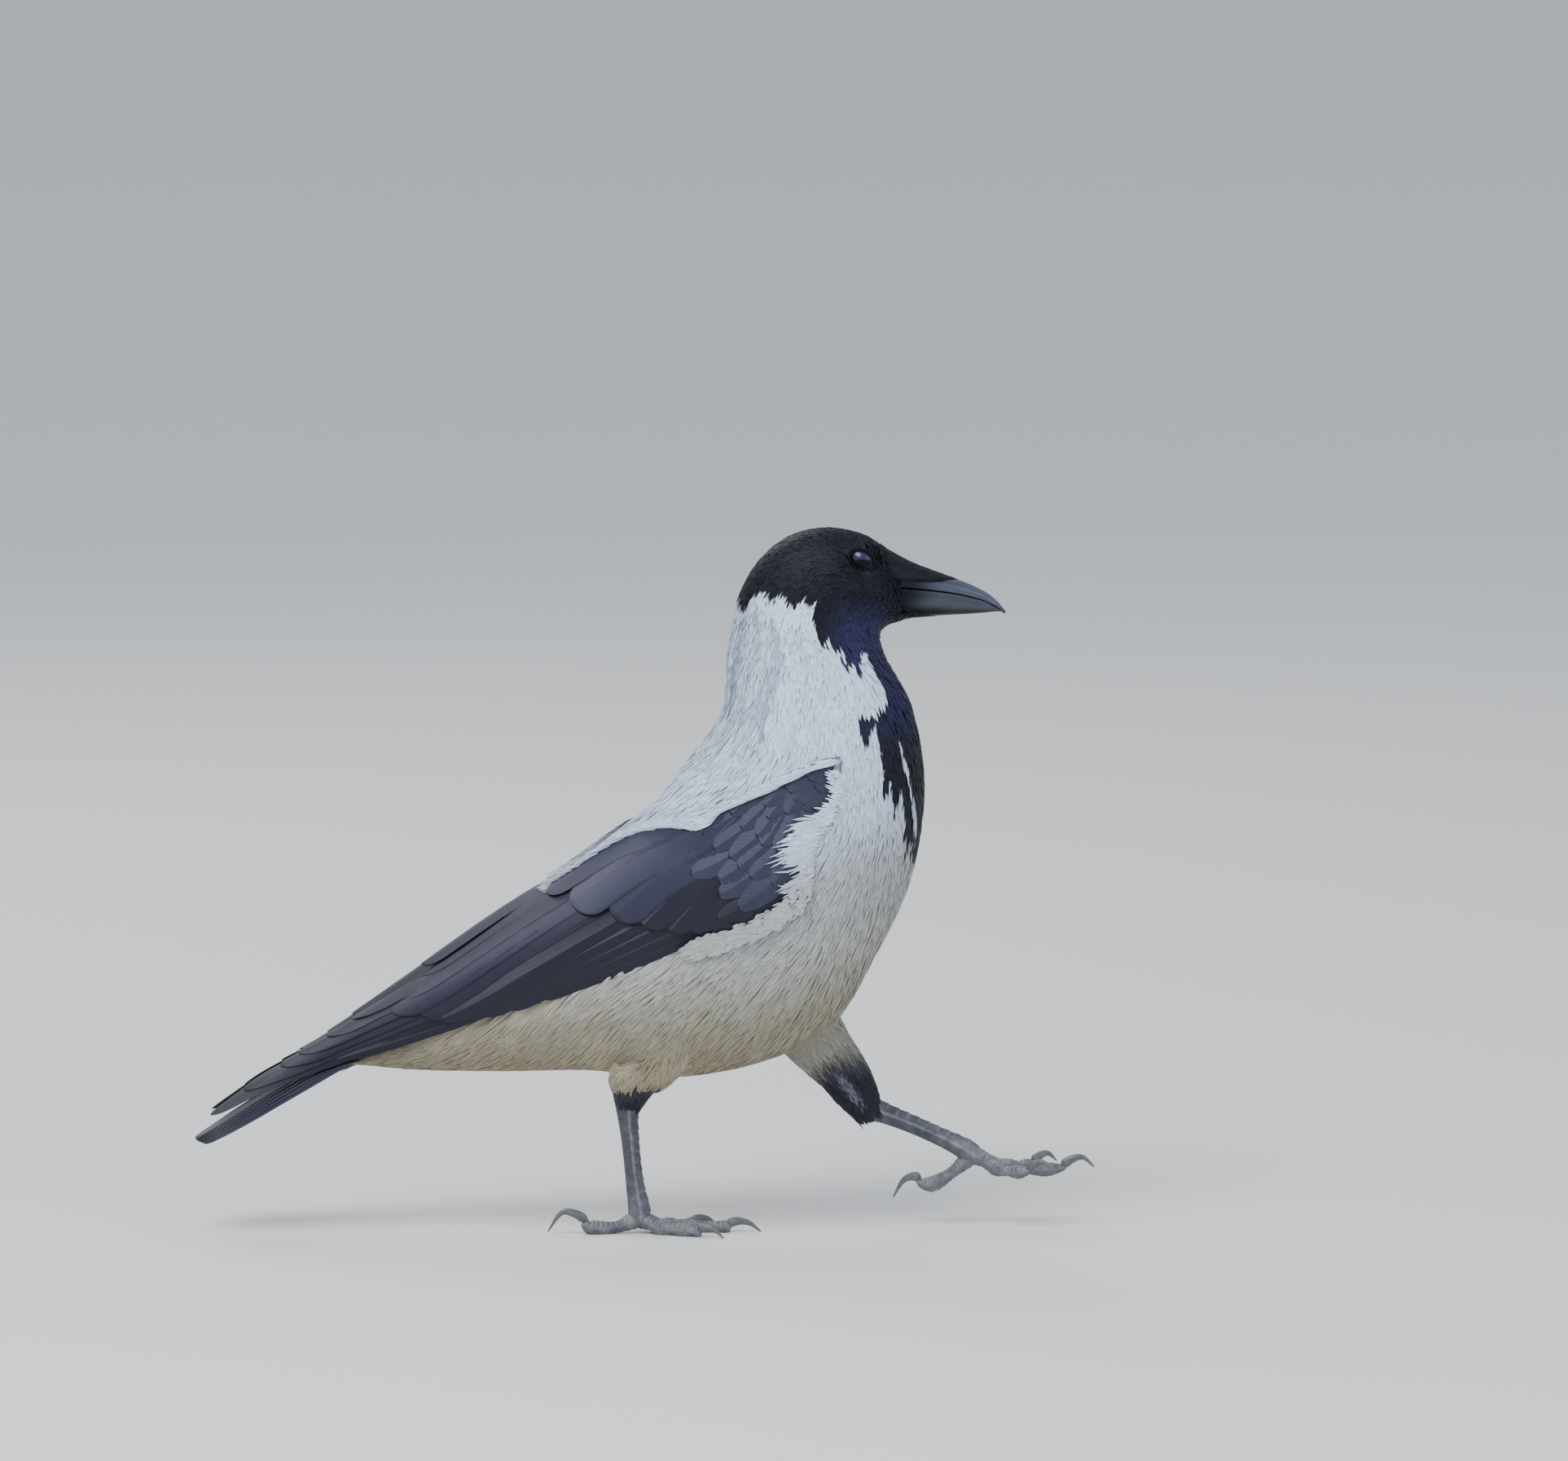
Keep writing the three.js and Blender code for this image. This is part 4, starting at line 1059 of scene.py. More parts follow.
# ---------------------------------------------------------------- what the wings hide
wing_of = {side: wing_surface(side) for side in SIDES.values()}


def wing_face(side, lowest):
    """How far sideways a wing's face stands, over a raster of the side view; nan beside the wing."""
    along, across = FACE_SAMPLES
    u, v = np.meshgrid(np.linspace(0, 1, along), np.linspace(0, lowest, across), indexing="ij")
    points, _, _, _ = wing_of[side].read(u, v)
    cell = np.rint((points[..., [0, 2]] - FACE_LOW) / FACE_CELL).astype(int)
    face = np.full(FACE_CELLS, np.nan)
    face[cell[..., 0], cell[..., 1]] = np.abs(points[..., 1]) - EDGE_SINK * np.maximum(0, v - 1)
    return face


face_of = {side: wing_face(side, 1.0) for side in SIDES.values()}
wide_face_of = {side: wing_face(side, WISP_MARGIN) for side in SIDES.values()}


def face_at(points, faces=face_of):
    """The wing's face beside each point, on the point's own side of the body."""
    cell = np.rint((points[..., [0, 2]] - FACE_LOW) / FACE_CELL).astype(int)
    cell = np.clip(cell, 0, np.array(FACE_CELLS) - 1)
    right, left = (faces[side][cell[..., 0], cell[..., 1]] for side in (RIGHT, LEFT))
    return np.where(points[..., 1] > 0, left, right)


def open_to_view(points, normals):
    """Whether no wing lies beside a root."""
    return ~(np.abs(points[..., 1]) < face_at(points))


def tuck_under_wings(points, height):
    """Brings feathers that would lie over a wing in under its blades, whatever their height."""
    limit = face_at(points) - TUCK
    over = np.abs(points[..., 1]) > limit
    points[..., 1] = np.where(over, np.sign(points[..., 1]) * limit, points[..., 1])
    return points


def lie_over_wings(points, height):
    """Brings feathers that would run under a wing's front out over its face."""
    lifted = 0.2 * np.broadcast_to(height, points.shape[:-1])
    face = face_at(points, wide_face_of) + OVER_WING + lifted
    under = np.abs(points[..., 1]) < face
    eased = ROOT_PUSH + (1 - ROOT_PUSH) * smooth(0, ROOT_EASE, STATIONS)
    over = np.where(under, np.sign(points[..., 1]) * face, points[..., 1])
    points[..., 1] += (over - points[..., 1]) * eased
    return points


def ride_and_tuck(points, height):
    """Over the thighs first, and then under the wings."""
    return tuck_under_wings(ride_over_thighs(points, height), height)


def eye_way(points):
    """Distance of a point on the head from the nearer eye's axis, in the side view."""
    return np.hypot(points[:, 0] - EYE_AT[0], points[:, 2] - EYE_AT[2])


def on_head(points, normals):
    """Whether a root is clear of the lids and of the bill."""
    clear_of_eye = (eye_way(points) > LID_REACH) | (np.abs(points[:, 1]) < 10)
    x, z = points[:, 0], points[:, 2]
    bill_front = (x > BILL_ROOT_X) & (z > BILL_ROOT_Z[0]) & (z < BILL_ROOT_Z[1])
    return clear_of_eye & ~bill_front


# ---------------------------------------------------------------- the body's coat
coat = Coat()


def ride_over_thighs(points, height):
    """Lifts feathers that would run through a thigh until they lie over it."""
    for label, side in SIDES.items():
        rows = limb_rows(THIGH, label, 24, RIDE_SHARE)
        flat = points.reshape(-1, 3)
        level = np.abs(flat[:, 0] - rows[:, 0].mean()) < RIDE_REACH
        near = np.flatnonzero((flat[:, 1] * side > RIDE_ASIDE) & (flat[:, 2] < RIDE_BELOW) & level)
        if not len(near):
            continue
        gap = flat[near][:, None] - rows[None, :, :3]
        away = np.linalg.norm(gap, axis=2)
        closest = (away - rows[None, :, 3:5].mean(2)).argmin(1)
        pick = np.arange(len(near))
        gap, away = gap[pick, closest], away[pick, closest]
        needed = rows[closest, 3:5].mean(1) + height.reshape(-1)[near] + RIDE_GAP
        outward = unit(gap + np.array([0, side * 2.0, 0]))
        push = np.maximum(0, needed - away)
        flat[near] += outward * push[:, None]
        points = flat.reshape(points.shape)
    return points


def near_thighs(points):
    """1 where a thigh leaves the body, 0 away from it."""
    near = 0
    for label in SIDES:
        top = np.array(THIGH[label][1][:3]) * [1, SIDES[label], 1]
        near = near + 1 - smooth(*THIGH_NEAR, np.linalg.norm(points - top, axis=1))
    return near


def flank_turn(points):
    """How far the lie of the lower flank swings down off the body's own, in radians."""
    x, y, z = points.T
    swing = FLANK_TURN * smooth(*FLANK_Z, z) * smooth(*FLANK_REAR, x) * (1 - smooth(*FLANK_FRONT, x))
    swing = swing + THIGH_TURN * near_thighs(points)
    return np.sign(y) * swing * smooth(2, 18, np.abs(y))


def clear_eye(u, v, length, tip):
    """Shortens and flattens the feathers whose way leads over an eye, and turns them aside."""
    point, _, along, across = body.read(u, v)
    eye = np.tile(EYE_AT, (len(u), 1))
    eye[:, 1] *= np.sign(point[:, 1])
    to_eye = eye - point
    ahead = (to_eye * unit(along)).sum(1)
    aside = (to_eye * unit(across)).sum(1)
    meets = (ahead > 0) & (ahead < length + LID_REACH) & (np.abs(aside) < LID_REACH)
    room = np.maximum(CROSSING_LEAST, ahead - LID_REACH + CROSSING_OVER)
    length = np.where(meets, np.minimum(length, room), length)
    turn = np.where(meets, -np.sign(aside) * CROSSING_TURN * (1 - np.abs(aside) / LID_REACH), 0)
    return length, turn, np.where(meets, CROSSING_TIP, tip)


def add_head():
    """Short feathers that grow longer down the head, parted around the eyes."""
    for low, high, spacing, first, last, width, locks in HEAD_BANDS:
        u, v = scatter(body, spacing, on_head, low, high)
        length = first + (last - first) * (u - low) / (high - low)
        length = length * rng.normal(1, 0.1, len(u))
        length, turn, tip = clear_eye(u, v, length, 0.35)
        coat.add(body, u, v, length, width, locks, root=-1.0, turn=turn, tip=tip, shade=0.06)


def streaked(u, v, depth):
    """Colour factors of long soft streaks that run with the coat, browner where they are deeper."""
    drift = 0.010 * np.sin(19 * u) + 0.006 * np.sin(47 * u + 1)
    wave = sum(np.sin(2 * math.pi * k * (v + drift) + k) for k in STREAK_COUNTS) / len(STREAK_COUNTS)
    return 1 - (depth * smooth(-0.5, 0.9, wave))[:, None] * STREAK_TINT


def add_neck():
    """Loose feathers of the neck, streaked on the nape."""
    u, v = scatter(body, spacing=3.0, keep=open_to_view, low=HEAD_END, high=NECK_END)
    points, _, _, _ = body.read(u, v)
    share = (u - HEAD_END) / (NECK_END - HEAD_END)
    length = (14 + 9 * share) * rng.normal(1, 0.09, len(u))
    # Streaks deepen towards the nape's rear edge: stronger streaks there, and painted shade.
    depth = 0.08 + 0.48 * smooth(92, 54, points[:, 0]) * smooth(205, 240, points[:, 2])
    coat.add(body, u, v, length, width=4.3 + 1.6 * share, locks=5, root=-2.0, shaft=0.05, ragged=0.15,
             tone_scale=streaked(u, v, depth), cleared=tuck_under_wings)


def add_trunk():
    """Long feathers of breast, back and flanks, wherever no wing hides their roots."""
    u, v = scatter(body, spacing=4.7, keep=open_to_view, low=NECK_END, high=1.0)
    points, _, _, _ = body.read(u, v)
    turn = flank_turn(points)
    length = (25 + 4 * smooth(0.6, 0.8, u)) * rng.normal(1, 0.08, len(u))
    length = length * (1 - 0.35 * smooth(0.93, 1.0, u))
    # Painted light: the coat is paler where the thighs leave the body, against the shade of the crease.
    crease_light = (1 + THIGH_CREASE_LIGHT * near_thighs(points))[:, None]
    coat.add(body, u, v, length, width=8.6, locks=11, root=-2.8, turn=turn, tip=0.6, shaft=0.03,
             ragged=0.13, tone_scale=streaked(u, v, 0.09) * crease_light, cleared=ride_and_tuck)


def add_bristles():
    """The bristles over the nostrils."""
    u, v = scatter(nose, 1.4, lambda points, normals: normals[:, 2] > -0.25, high=0.8)
    length = (14 - 8 * u) * rng.normal(1, 0.15, len(u))
    tip = 0.3 - 0.3 * u
    coat.add(nose, u, v, length, width=1.3, locks=2, root=-0.4, black=True, tip=tip, shade=0.08)


def add_chin():
    """The fine feathers that run out under the lower bill."""
    x, z, fall = CHIN_LINE

    def below(points, normals):
        return points[:, 2] < z - fall * (points[:, 0] - x)

    u, v = scatter(lower_bill, spacing=1.3, keep=below, high=0.5)
    length = (6.5 - 7 * u) * rng.normal(1, 0.12, len(u))
    coat.add(lower_bill, u, v, length, width=1.2, locks=2, root=-0.4, black=True, tip=0.2, shade=0.08)


def add_thighs():
    """The thighs' feathers, black above the heel, the left ones with a painted highlight streak in the
    black.
    """
    for label, side in SIDES.items():
        surface = thigh_surface(label)
        u, v = scatter(surface, 2.1, lambda points, normals: points[:, 2] < THIGH_TOP)
        keep = (u > 0.2) | (label == "left")
        u, v = u[keep], v[keep]
        length = (16 - 8 * u) * rng.normal(1, 0.12, len(u))
        place, facing, _, _ = surface.read(u, v)
        height = place[:, 2] + 0.7 * np.maximum(0, 91 - place[:, 0]) * (label == "left")
        stray = THIGH_BLACK_BELOW[label] + rng.normal(0, 0.9, len(u))
        black = height < stray
        dusk = smooth(stray + 13, stray, height)[:, None]
        fading = smooth(stray - 7, stray, height)
        if label == "left":
            inner = smooth(0.5, -0.5, facing[:, 1] * side)[:, None]
            tone = THIGH_OUTSIDE * (1 - inner) + THIGH_INSIDE * inner
            tone = tone * (1 - 0.62 * dusk)
            # A painted highlight: a soft pale streak across the black of the left thigh.
            highlight_streak = bell(v - 0.69 - 0.06 * u, 0, 0.024)
            highlight_streak = highlight_streak * smooth(0.4, 0.5, u) * smooth(0.84, 0.74, u)
            dark = 1.6 + 3.4 * fading + 13 * highlight_streak
        else:
            # Painted light: the planted thigh's grey is raised against the shadow of the flank over it.
            tone = THIGH_PLANTED * (1 - 0.3 * dusk)
            dark = 1.6 + 1.5 * fading
        tone = np.where(black[:, None], dark[:, None] * THIGH_BLACK, tone)
        coat.add(surface, u, v, length, width=3.4, locks=4, root=-1.6, black=black, tip=0.6 - 0.3 * u,
                 shade=0.05, tone_scale=tone)


def add_overlaps():
    """The longer feathers of the breast side that lie over the front of the wing's lower edge."""
    for side in SIDES.values():
        low = wing_of[side].grid[OVERLAP_ROWS, -1]

        def beside(points, normals):
            gap = np.linalg.norm(points[:, None] - low[None], axis=2).min(1)
            return (gap < 8) & (points[:, 1] * side > 0) & open_to_view(points, normals)

        u, v = scatter(body, spacing=2.3, keep=beside, low=NECK_END - 0.1)
        point, _, along, across = body.read(u, v)
        z = point[:, 2]
        length = 7 + 13 * smooth(206, 200, z) * smooth(180, 187, z)
        length = length + 11 * bell(z, 176, 2.5)
        back = np.array([-1, 0, WISP_FALL])
        turn = np.arctan2(unit(across) @ back, unit(along) @ back)
        length = length * rng.normal(1, 0.14, len(u))
        # The wisps' tone is lowered as painted shade, where they stand out and catch more light than the
        # coat.
        coat.add(body, u, v, length, width=4.4, locks=8, root=-1.6, tip=1.2, tone_scale=0.93, ragged=0.24,
                 shade=0.07, turn=turn * WISP_TURN, cleared=lie_over_wings)


def add_scapulars():
    """The rounded feathers of the shoulder, in rows along the wing's upper edge."""
    for side in SIDES.values():
        wing = wing_of[side]
        line = wing.grid[:, 0]
        arc = run_length(line)
        width = np.linalg.norm(wing.grid[:, -1] - line, axis=1)
        share = np.linspace(0, 1, len(arc))

        def along_edge(u, v):
            row = u * WING_LAST
            hang = 0.3 + LOBE_REACH * bell(row, LOBE_ROW, LOBE_HALF)
            hang = hang + np.abs(rng.normal(0, 0.35, (*u.shape[:2], 1)))
            return np.minimum(v, hang / np.interp(u, share, width))

        for above, length, step, lift in SCAPULARS:
            places = np.arange(0, SCAPULARS_END, step)
            places = np.abs(places + rng.normal(0, 0.25 * step, len(places)))
            u = np.interp(places, arc, share)
            v = (rng.normal(0, 0.5, len(u)) - above) / np.interp(u, share, width)
            reach = length * rng.normal(1, 0.06, len(u)) * (1 - 0.4 * smooth(110, SCAPULARS_END, places))
            coat.add(wing, u, v, reach, width=8.0, locks=11, root=-1.0, black=False, turn=SCAPULAR_TURN,
                     tip=lift, ragged=0.06, steered=along_edge)


add_head()
add_neck()
add_trunk()
add_bristles()
add_chin()
add_thighs()
add_overlaps()
add_scapulars()


# ---------------------------------------------------------------- materials
class Looks:
    """A material in the making: its node tree and its shader."""

    def __init__(self, name, roughness, specular=0.5, sheen=0.0, specular_tint=(1, 1, 1)):
        self.made = bpy.data.materials.new(name)
        self.made.use_nodes = True
        self.tree = self.made.node_tree
        self.shader = self.tree.nodes["Principled BSDF"]
        self.feed(self.shader, {
            "Roughness": roughness,
            "Specular IOR Level": specular,
            "Specular Tint": (*specular_tint, 1),
            "Sheen Weight": sheen,
        })

    def feed(self, node, sources):
        """Sets a node's sockets by name or number, or links those whose source is an output."""
        for socket, source in sources.items():
            if isinstance(source, bpy.types.NodeSocket):
                self.tree.links.new(source, node.inputs[socket])
            else:
                node.inputs[socket].default_value = source

    def node(self, kind, sources=None, output=0, **settings):
        """A new node's output."""
        made = self.tree.nodes.new(kind)
        for setting, value in settings.items():
            setattr(made, setting, value)
        self.feed(made, sources or {})
        return made.outputs[output]

    def arithmetic(self, operation, *values):
        return self.node("ShaderNodeMath", dict(enumerate(values)), operation=operation)

    def tint(self, layer="tint"):
        return self.node("ShaderNodeVertexColor", layer_name=layer)

    def place(self, name):
        return self.node("ShaderNodeUVMap", uv_map=name)

    def noise(self, scale, detail, roughness=0.5, stretch=None, place=None):
        place = place or self.node("ShaderNodeTexCoord", output="Object")
        if stretch:
            place = self.node("ShaderNodeMapping", {"Scale": stretch, 0: place})
        sources = {"Scale": scale, "Detail": detail, "Roughness": roughness, "Vector": place}
        return self.node("ShaderNodeTexNoise", sources)

    def ramp(self, source, *stops):
        """Colours along a value, from two stops of place and colour."""
        made = self.node("ShaderNodeValToRGB", {0: source})
        for element, (place, colour) in zip(made.node.color_ramp.elements, stops):
            element.position = place
            element.color = (*colour, 1)
        return made

    def colour(self, shades):
        """Colours the surface with its own tint, times the given shades."""
        # Socket 0 of a mix is its share, 6 and 7 are its two colours, and output 2 is their mixture.
        sources = {0: 1, 6: self.tint(), 7: shades}
        mixed = self.node("ShaderNodeMix", sources, 2, data_type="RGBA", blend_type="MULTIPLY")
        self.feed(self.shader, {"Base Color": mixed})

    def relief(self, height, strength, depth=0.0002):
        """Fine relief, `depth` metres deep."""
        bump = self.node("ShaderNodeBump", {"Strength": strength, "Distance": depth, "Height": height})
        self.feed(self.shader, {"Normal": bump})


def plumage(name, roughness, specular, sheen, faint, specular_tint=(1, 1, 1)):
    """Soft feathers: the coat's own colour, in fine strands that follow each feather."""
    looks = Looks(name, roughness, specular, sheen, specular_tint)
    looks.feed(looks.shader, {"Sheen Roughness": 0.5})
    strand = looks.noise(MAP_UNIT, 2, 0.6, (STRANDS_PER_MM, 0.09, 1), looks.place("strands"))
    looks.colour(looks.ramp(strand, (0.3, (faint, faint, faint)), (0.65, (1, 1, 1))))
    looks.relief(strand, 0.25)
    return looks.made


grey_plumage = plumage("grey_plumage_looks", roughness=0.8, specular=0.2, sheen=0.12, faint=0.82)
black_plumage = plumage(
    "black_plumage_looks", roughness=0.52, specular=0.22, sheen=0.0, faint=0.6, specular_tint=BLACK_GLOSS
)


# ---------------------------------------------------------------- firm feathers
def vane_outline(s, blunt):
    """Width of a vane along its length: narrow quill, full blade, rounded or pointed end."""
    open_up = 0.3 + 0.7 * smooth(0, 0.22, s)
    close = np.sqrt(np.clip(1 - (np.maximum(s - blunt, 0) / (1 - blunt)) ** 2, 0, 1))
    return open_up * close


class Vanes:
    """Firm feathers, each a closed thin blade with a shaft, gathered into one mesh."""

    def __init__(self, name):
        self.name = name
        self.points, self.faces, self.colours, self.barbs, self.patches = [], [], [], [], []
        self.facings = []
        self.count = 0

    def add(self, surface, path, upper, lower, heights, colour, blunt, stations, shaft, droop, thick=0.4,
            wave=0.0, fade=0.0, rim=0.55):
        """A blade along a path of (u, v); upper and lower are its widths on either side of the shaft.

        heights are those of its root and tip over the surface. Its edges hang by `droop`, and it is
        darker at its rim, in dark edges and painted shadow, and, by `fade`, towards its tip.
        """
        ends = np.linspace(0, 1, stations)
        closing = np.sin((ends - BLADE_BODY) / (1 - BLADE_BODY) * np.pi / 2)
        s = np.where(ends < BLADE_BODY, ends / BLADE_BODY * blunt, blunt + (1 - blunt) * closing)
        width = vane_outline(s, blunt) * (1 + wave * np.sin(37 * s + 9 * rng.random()) * (s > 0.3))
        offset = BLADE_LINES * np.where(BLADE_LINES < 0, upper, lower) * width[:, None]
        u, v, length = self.spread(surface, curve(path, s), s, offset)
        place, facing, _, _ = surface.read(u, v)
        height = (heights[0] + (heights[1] - heights[0]) * s)[:, None] - droop * np.abs(BLADE_LINES) ** 3
        self.shape(place, facing, height, s, shaft, thick)
        self.colour(colour, s, rim, fade)
        self.unroll(s, offset, length)

    @staticmethod
    def spread(surface, middle, s, offset):
        """(u, v) of a blade's lines, `offset` mm to either side of its shaft, and the way along that."""
        centre, normal, along, aside = surface.read(middle[:, 0], middle[:, 1])
        forward = unit(np.gradient(centre, s, axis=0))
        sideways = unit(np.cross(normal, forward))
        sideways *= np.sign((sideways * aside).sum(1, keepdims=True))
        step = sideways[:, None] * offset[..., None]
        gram = np.stack([
            np.stack([(along * along).sum(1), (along * aside).sum(1)], 1),
            np.stack([(along * aside).sum(1), (aside * aside).sum(1)], 1),
        ], 1)
        against = np.stack([(step * along[:, None]).sum(2), (step * aside[:, None]).sum(2)], 2)
        shift = np.einsum("nij,nkj->nki", np.linalg.inv(gram), against)
        return middle[:, 0:1] + shift[..., 0], middle[:, 1:2] + shift[..., 1], run_length(centre)

    def shape(self, place, facing, height, s, shaft, thick):
        """A closed blade with a raised shaft, shaded by the bend of its upper side."""
        slim = (1 - 0.75 * smooth(0.6, 1, s))[:, None]
        ridge = shaft * slim * bell(BLADE_LINES, 0, 0.16)[None, :]
        body_thick = thick * (0.3 + 0.7 * (1 - BLADE_LINES**2))[None, :] * np.ones_like(height)
        top = place + facing * (height + ridge)[..., None]
        under = place + facing * (height - body_thick - 0.6 * ridge)[..., None]
        points, faces = capped_tube(np.concatenate([top, under[:, ::-1]], 1))
        self.points.append(points)
        self.faces.append(faces + self.count)
        self.count += len(points)
        steepness = np.cross(np.gradient(top, axis=0), np.gradient(top, axis=1))
        steepness = unit(steepness) * np.sign((steepness * facing).sum(2, keepdims=True))
        facings = np.concatenate([steepness, -steepness[:, ::-1]], 1).reshape(-1, 3)
        shaft_line = len(BLADE_LINES) // 2
        self.facings.append(np.vstack([facings, facing[0, shaft_line], facing[-1, shaft_line]]))

    def colour(self, colour, s, rim, fade):
        """Its tone: darker at the rim and end as dark edges and painted shadow, towards the tip, and
        underneath as painted shade.
        """
        tone = colour * rng.normal(1, 0.05)
        edge = (1 - rim * smooth(0.84, 0.98, np.abs(BLADE_LINES)))[None, :]
        edge = edge * (1 - 0.9 * rim * smooth(0.97, 1, s))[:, None]
        edge = edge * (1 - fade * smooth(0.55, 0.95, s))[:, None]
        shade = np.concatenate([edge, edge * UNDERSIDE_SHADE], 1)
        self.colours.append(np.vstack([tone * shade.reshape(-1, 1), tone, tone]))

    def unroll(self, s, offset, length):
        """The maps: distances off and along the shaft for the barbs, and the blade's own square."""
        barb = self.around(np.abs(offset), length[:, None]) / MAP_UNIT
        patch = self.around(BLADE_LINES * 0.5 + 0.5, s[:, None])
        self.barbs.append(np.vstack([barb, barb[0], barb[-1]]))
        self.patches.append(np.vstack([patch, patch[0], patch[-1]]))

    @staticmethod
    def around(first, second):
        """Two values for each point of a blade, its top and then its underside."""
        pair = np.stack(np.broadcast_arrays(first, second), -1)
        return np.concatenate([pair, pair[:, ::-1]], 1).reshape(-1, 2)

    def build(self, looks, slot, replaced=()):
        thing = link(self.name, np.vstack(self.points), np.vstack(self.faces))
        paint(thing, "tint", np.vstack(self.colours))
        per_row = math.ceil(math.sqrt(len(self.points) * 4))
        rows = math.ceil(len(self.points) / per_row)
        cell = np.array([MAP_SPAN / per_row, MAP_SPAN / rows])
        places = [
            MAP_EDGE + cell * (np.array([i % per_row, i // per_row]) + 0.05 + 0.9 * patch)
            for i, patch in enumerate(self.patches)
        ]
        unwrap(thing, "OFBake", np.vstack(places))
        unwrap(thing, "barbs", np.vstack(self.barbs))
        face_out(thing, np.vstack(self.facings))
        finish_piece(thing, looks, replaced)


def wing_path(*places):
    return [(row / WING_LAST, v) for row, v in places]


def blade_tone(across):
    """Painted light and shade: the lit violet-grey of the upper wing, painted shade near black along its
    lower edge.
    """
    lit = 1 - smooth(0.66, 0.94, across)
    return BLADE_SHADED + (BLADE_LIT - BLADE_SHADED) * lit


def add_wing(label, surface):
    """A folded wing: its firm feathers in layers over a dark inside."""
    blades = Vanes(f"wing_{label}_blades")
    for rows, base, drop, rise, blunt, stations, shaft, tone in WING_GROUPS:
        for i, (root, middle, tip, upper, lower) in enumerate(rows):
            lift = base + BLADE_STEP * (len(rows) - 1 - i)
            # How far across the wing a blade's tip lies, which sets how much painted shade it takes.
            across = tip[1] + 0.04 * max(0, 8 - tip[0]) + 0.08 * max(0, tip[0] - 8)
            blades.add(surface, wing_path(root, middle, tip), upper, lower, (lift - drop, lift + rise),
                       tone * blade_tone(across), blunt, stations, shaft, droop=0.15, thick=0.3,
                       wave=0.012, fade=0.7 * (rows is PRIMARIES))
    blades.build(blade_looks, "flight_feathers", WING_NODES[label])
    add_small_coverts(label, surface)
    add_wing_core(label, surface)


def add_small_coverts(label, surface):
    """The scale-like feathers at the wing's shoulder, in staggered rows."""
    scales = Vanes(f"wing_{label}_small_coverts")
    for row in range(SMALL_COVERT_ROWS):
        for i in range(SMALL_COVERTS_ACROSS):
            v = (i + 0.5 * (row % 2)) / (SMALL_COVERTS_ACROSS - 1) + rng.normal(0, 0.015)
            along = 0.1 + 0.5 * row - 0.75 * v + rng.normal(0, 0.1)
            wisps_above = v > 0.8 and along < 2.4
            if along < 0.2 or along > 3.3 or v > 0.97 or wisps_above:
                continue
            reach = (8.5 + 1.5 * row) / 24
            path = wing_path((along, v - 0.02), (along + reach, v + 0.03), (along + 2 * reach, v + 0.1))
            wide = 3.9 + 0.45 * row
            # The lit colour, with painted shade towards the wing's lower edge.
            colour = BLADE_LIT * (0.85 + 0.15 * row / 6) * (1 - 0.6 * smooth(0.8, 1, v))
            scales.add(surface, path, wide, wide, (-0.6, 0.14 - 0.02 * row), colour, blunt=0.55,
                       stations=9, shaft=0.06, droop=0.05, thick=0.25, rim=0.08)
    scales.build(blade_looks, "flight_feathers")


def add_wing_core(label, surface):
    """The dark inside of the folded wing, under its blades."""
    u = np.linspace(*CORE_ALONG, 70)
    uu, vv = np.meshgrid(u, np.linspace(*CORE_ACROSS, 15), indexing="ij")
    place, facing, _, _ = surface.read(uu, vv)
    thick = curve(np.array(WING)[:, 7:8], u)
    sunk = np.clip(0.9 * thick, 3.2, 5.4)[..., None]
    top = place - facing * sunk
    under = top - facing * np.maximum(thick - sunk[..., 0], 0.3)[..., None]
    points, faces = capped_tube(np.concatenate([top, under[:, ::-1]], 1))
    thing = link(f"wing_{label}_core", points, faces)
    paint(thing, "tint", DARKEST)
    finish_piece(thing, black_plumage)


def add_tail():
    """Twelve feathers in pairs, the outermost lowest."""
    surface = tail_surface()
    blades = Vanes("tail_blades")
    outermost = TAIL_PAIRS - 1
    for pair in range(outermost, -1, -1):
        for side in (LEFT, RIGHT):
            tip_aside = 0.07 + 0.36 * pair / outermost
            tip_along = 0.995 - 0.075 * (pair / outermost) ** 1.6
            root_aside = 0.04 + 0.2 * pair / outermost
            lift = 0.1 - 0.42 * pair + (0.2 if side == LEFT else 0)
            outer = 7.5 - 0.4 * pair
            inner = 11 - 0.5 * pair
            upper, lower = (inner, outer) if side == LEFT else (outer, inner)
            path = [
                (0.0, 0.5 + side * root_aside),
                (0.55, 0.5 + side * (root_aside * 0.4 + tip_aside * 0.6)),
                (tip_along, 0.5 + side * tip_aside),
            ]
            # The tail's painted sheen: blue-grey along the blades, fading to dark at their tips.
            blades.add(surface, path, upper, lower, (lift - 0.6, lift), TAIL_DARK, blunt=0.86,
                       stations=22, shaft=0.35, droop=0.3, wave=0.01, fade=0.9)
    blades.build(blade_looks, "flight_feathers", ["tail"])


def blade_material():
    """Firm feathers: near black with a violet-blue gloss, and fine barbs slanting off the shaft."""
    looks = Looks("blade_looks", roughness=0.4, specular_tint=BLADE_GLOSS)
    looks.colour(looks.ramp(looks.noise(90, 4), (0.25, (0.75, 0.75, 0.8)), (0.75, (1, 1, 1))))
    aside, along, _ = looks.node("ShaderNodeSeparateXYZ", {0: looks.place("barbs")}).node.outputs
    slanted = looks.arithmetic("MULTIPLY_ADD", aside, BARB_SLANT, along)
    wave = looks.arithmetic("MULTIPLY", slanted, 2 * math.pi * MAP_UNIT / BARB_PITCH)
    looks.relief(looks.arithmetic("SINE", wave), 0.35)
    return looks.made


blade_looks = blade_material()
for label, side in SIDES.items():
    add_wing(label, wing_of[side])
add_tail()


